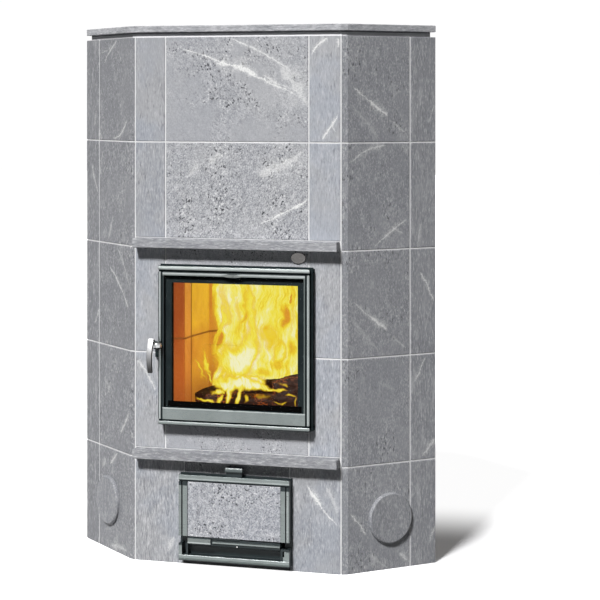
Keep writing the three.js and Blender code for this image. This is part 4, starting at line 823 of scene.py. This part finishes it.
# The sill bar's top edge is a painted highlight, and its lower part is painted shade.
satin_metal("ash_door_frame", METAL, bright=[
    patch(-180, 180, 15, 34.5, -30.8), patch(-180, -150, 34, 62, -25), patch(150, 180, 34, 62, -25)], paints=[
    (strip(31.4, 34.5), PAINTED_HIGHLIGHT), (strip(10, 24.5), PAINTED_SHADE_METAL), (strip(10, 20), PAINTED_DEEP_SHADE)])
satin_metal("blank_badge", (0.16, 0.153, 0.148), [behind(1.6)], rounding=0.002)


def dark_enamel(name, paints=()):
    """Dark blue-green stove enamel with a faint orange-peel skin."""
    material, tree, place = new_material(name)
    color = clouded(tree, place, 25, (0.019, 0.027, 0.029), (0.026, 0.036, 0.038), 4, 0.6, 0.35, 0.65)
    peel = noise(tree, place, 500, 2, 0.5)
    color = painted(tree, place, color, paints)
    add_skin(tree, color, ramp(tree, peel, 0.3, 0.7, 0.36, 0.44), peel, 0.0001, 0.2, shine=0.0)
    return material


# A near-black band of painted shade along the foot of the door's window.
WINDOW_PAINTED_SHADE = (0.0015, 0.0015, 0.0015)
finish_node("fire_door_leaf", dark_enamel("door_enamel", [(strip(472, 491, 206), WINDOW_PAINTED_SHADE)]))
finish_node("fire_door_frame", dark_enamel("frame_enamel"))


# Door handle: a bowed lever, thick and brushed, with a painted highlight above and painted shade
# darkening towards its tip and on its sides, on a polished ball with a painted bright band and a
# painted dark crescent below, whose arm holds the lever's head and whose spindle runs through the door.
def rounded_rings(middles, across, thick, half_wide, half_thick, round_by, steps=5):
    """Rounded rectangles carried along middles. At each corner a quarter circle of the rounding
    turns round the corner's own centre; across and thick are each ring's two directions."""
    turn = np.linspace(0, pi / 2, steps + 1)
    angle = np.concatenate([turn + quarter * pi / 2 for quarter in range(4)])
    sign_u, sign_v = np.repeat([1, -1, -1, 1], steps + 1), np.repeat([1, 1, -1, -1], steps + 1)
    half_wide, half_thick, round_by = (np.asarray(v, dtype=float)[:, None]
                                       for v in (half_wide, half_thick, round_by))
    u = sign_u * (half_wide - round_by) + round_by * np.cos(angle)
    v = sign_v * (half_thick - round_by) + round_by * np.sin(angle)
    return middles[:, None] + u[..., None] * across[:, None] + v[..., None] * thick[:, None]


def handle_bar_grid(path, half_wide, half_thick, cap=0.0028):
    """A bar along a path in millimetres (x, out, height): its rings shrink over both ends along a
    quarter circle, and its thickness lies square to the path."""
    path = np.array(path, dtype=float) * (0.001, -0.001, 0.001) + (0, FRONT_Y, 0)
    gaps = np.linalg.norm(np.diff(path, axis=0), axis=1)
    along = np.concatenate([[0], np.cumsum(gaps)])
    ends = cap * (1 - np.cos(np.linspace(0.15, pi / 2, 6)))
    places = np.concatenate([[0], ends, np.linspace(cap, along[-1] - cap, 42)[1:-1],
                             along[-1] - ends[::-1], [along[-1]]])
    inset = cap * (1 - np.sin(np.linspace(0.15, pi / 2, 6)))
    inset = np.concatenate([[np.nan], inset, np.zeros(40), inset[::-1], [np.nan]])
    middles = np.stack([np.interp(places, along, path[:, axis]) for axis in range(3)], axis=-1)
    ahead = np.gradient(middles, axis=0)
    ahead[0], ahead[-1] = ahead[1], ahead[-2]
    ahead /= np.linalg.norm(ahead, axis=1, keepdims=True)
    across = np.cross(ahead, (0, -1, 0))
    across /= np.linalg.norm(across, axis=1, keepdims=True)
    out = np.cross(across, ahead)
    share = places / along[-1]
    wide = np.interp(share, np.linspace(0, 1, len(half_wide)), half_wide) / 1000
    thick = np.interp(share, np.linspace(0, 1, len(half_thick)), half_thick) / 1000
    shrink = np.where(np.isnan(inset), 0, 1)
    inset = np.nan_to_num(inset)
    wide, thick = (np.maximum(v - inset, 0.0002) * shrink for v in (wide, thick))
    return rounded_rings(middles, across, out, wide, thick, np.minimum(wide, thick) * 0.45)


def turned_grid(profile, x, z, columns=40):
    """A piece turned about a level axis that points out of the door: rings of each profile row's
    radius at its distance out, (radius, out) in millimetres."""
    profile = np.array(profile, dtype=float) / 1000
    turn = turns(columns)
    radius, out = profile[:, :1], profile[:, 1:]
    return np.stack([x / 1000 + radius * np.cos(turn), FRONT_Y - out + 0 * turn,
                     z / 1000 + radius * np.sin(turn)], axis=-1)


HUB_X, HUB_Z = -231.0, 657.25
HUB_HEIGHT = HUB_Z / 1000
BALL_RADIUS, BALL_OUT = 14, 52
LEVER_FOOT, LEVER_REACH = 0.5793, 0.102
fall = np.linspace(0, 1, 60)
lever_path = np.stack([np.full(60, HUB_X - 14.4), 63 + 11 * fall + 15 * np.sin(pi * fall),
                       HUB_Z + 21 - 100.4 * fall], axis=-1)
around = np.linspace(0, 0.8 * pi, 24)
ball = [(BALL_RADIUS * sin(a), BALL_OUT + BALL_RADIUS * cos(a)) for a in around]
spindle = [(7.4, 38.5), (7.4, 32.4), (4.9, 32.2), (4.9, 15), (2.4, 14.6), (2.4, 9.8), (0, 9.8)]
arm_path = [(HUB_X - 15, 62.5, HUB_Z + 19), (HUB_X - 9, 58, HUB_Z + 12), (HUB_X, 53, HUB_Z + 3)]

lever_finish, tree, place = new_material("lever_metal")
rise = maths(tree, "SUBTRACT", axes_of(tree, place)["Z"], LEVER_FOOT)
share = maths(tree, "DIVIDE", rise, LEVER_REACH)
# Painted highlight and shade on the lever: near black at its tip, brighter upwards, white at the top.
tone = shade_ramp(tree, share, [(position, (level, level, level * 1.02)) for position, level in (
    (0.0, 0.02), (0.1, 0.04), (0.24, 0.13), (0.45, 0.32), (0.7, 0.46))] + [(1.0, (1, 1, 1))])
skin = use_group(tree, brushing, {"Place": place, "Tone": tone, "Stretch": (1.0, 1.0, 0.05)})
# Its sides are painted dark as shade.
facing = axes_of(tree, add_node(tree, "ShaderNodeTexCoord").outputs["Normal"])["X"]
sides = ramp(tree, maths(tree, "ABSOLUTE", facing), 0.3, 0.7)
color = mix(tree, sides, skin["Color"], (0.02, 0.022, 0.024))
add_skin(tree, color, lerp(tree, skin["Roughness"], 0.3, 0.75), metallic=0.2, shine=0.3)

ball_finish, tree, place = new_material("ball_painted_light_and_shade")
waver = times(tree, noise(tree, place, 240, 3, 0.6), 0.002)
height = maths(tree, "ADD", axes_of(tree, place)["Z"], waver)
# Painted highlight and shade on the ball: a bright band across its middle, grey above, and a near-black
# crescent below.
lower = ramp(tree, height, HUB_HEIGHT - 0.003, HUB_HEIGHT - 0.006)
upper = ramp(tree, height, HUB_HEIGHT + 0.006, HUB_HEIGHT + 0.011)
color = mix(tree, lower, (0.6, 0.61, 0.61), (0.004, 0.004, 0.005))
color = mix(tree, upper, color, (0.12, 0.13, 0.13))
rough = ramp(tree, noise(tree, place, 60, 3, 0.6), 0.3, 0.7, 0.26, 0.38)
add_skin(tree, color, rough, metallic=0.5, shine=0.2)

surface("handle_lever", [handle_bar_grid(lever_path, (9.2, 8.9, 8.2, 7.5, 7.2), (4.2, 4.5, 4.5, 4.3, 4.0))],
        lever_finish, "door_handle", ["door_handle"])
surface("handle_ball", [turned_grid(ball + spindle, HUB_X, HUB_Z),
                        handle_bar_grid(arm_path, (4.5, 5, 5.5), (4, 4.5, 5), 0.0015)],
        ball_finish, "door_handle")


# Stop screw of the air slider: a small domed screw of pale steel, low on the ash door's leaf, a
# little to the right of its middle.
SCREW_X, SCREW_Z = 11.0, 67.3
screw = [(0, 33.8), (1.3, 33.6), (2.1, 32.9), (2.3, 32.0), (2.3, 30.0), (0, 30.0)]
screw_steel = rough_material("screw_steel", (0.6, 0.6, 0.6), (0.75, 0.75, 0.75), 60, 0.4, 0.0001, 0.3)
surface("slider_stop_screw", [turned_grid(screw, SCREW_X, SCREW_Z, 24)], screw_steel,
        "ash_door")


# Glass: a clear heat-proof pane. It hides nearly nothing of the fire, and mirrors the studio only
# faintly.
pane_finish, tree, place = new_material("heat_proof_glass")
rough = ramp(tree, noise(tree, place, 30, 4, 0.6), 0.3, 0.7, 0.02, 0.06)
add_skin(tree, (0.02, 0.02, 0.02), rough, alpha=0.05, shine=0.06)
finish_node("door_glass", pane_finish)


# Stone panel of the ash door, pitted and bluish, and the clean-out covers, which are smooth slabs of
# the same stone as the sides.
finish_stone("ash_stone_panel", tone=(0.405, 0.415, 0.45), cool=(0.37, 0.385, 0.43), pits=1.9, grain=1.2,
             patches=0.1, stretch=1.2)
for hand, sign in HANDS:
    finish_stone(f"{hand}_cleanout_cover", pits=0.3, grain=0.5, patches=0.1, stretch=3, **SIDE_LOOK)
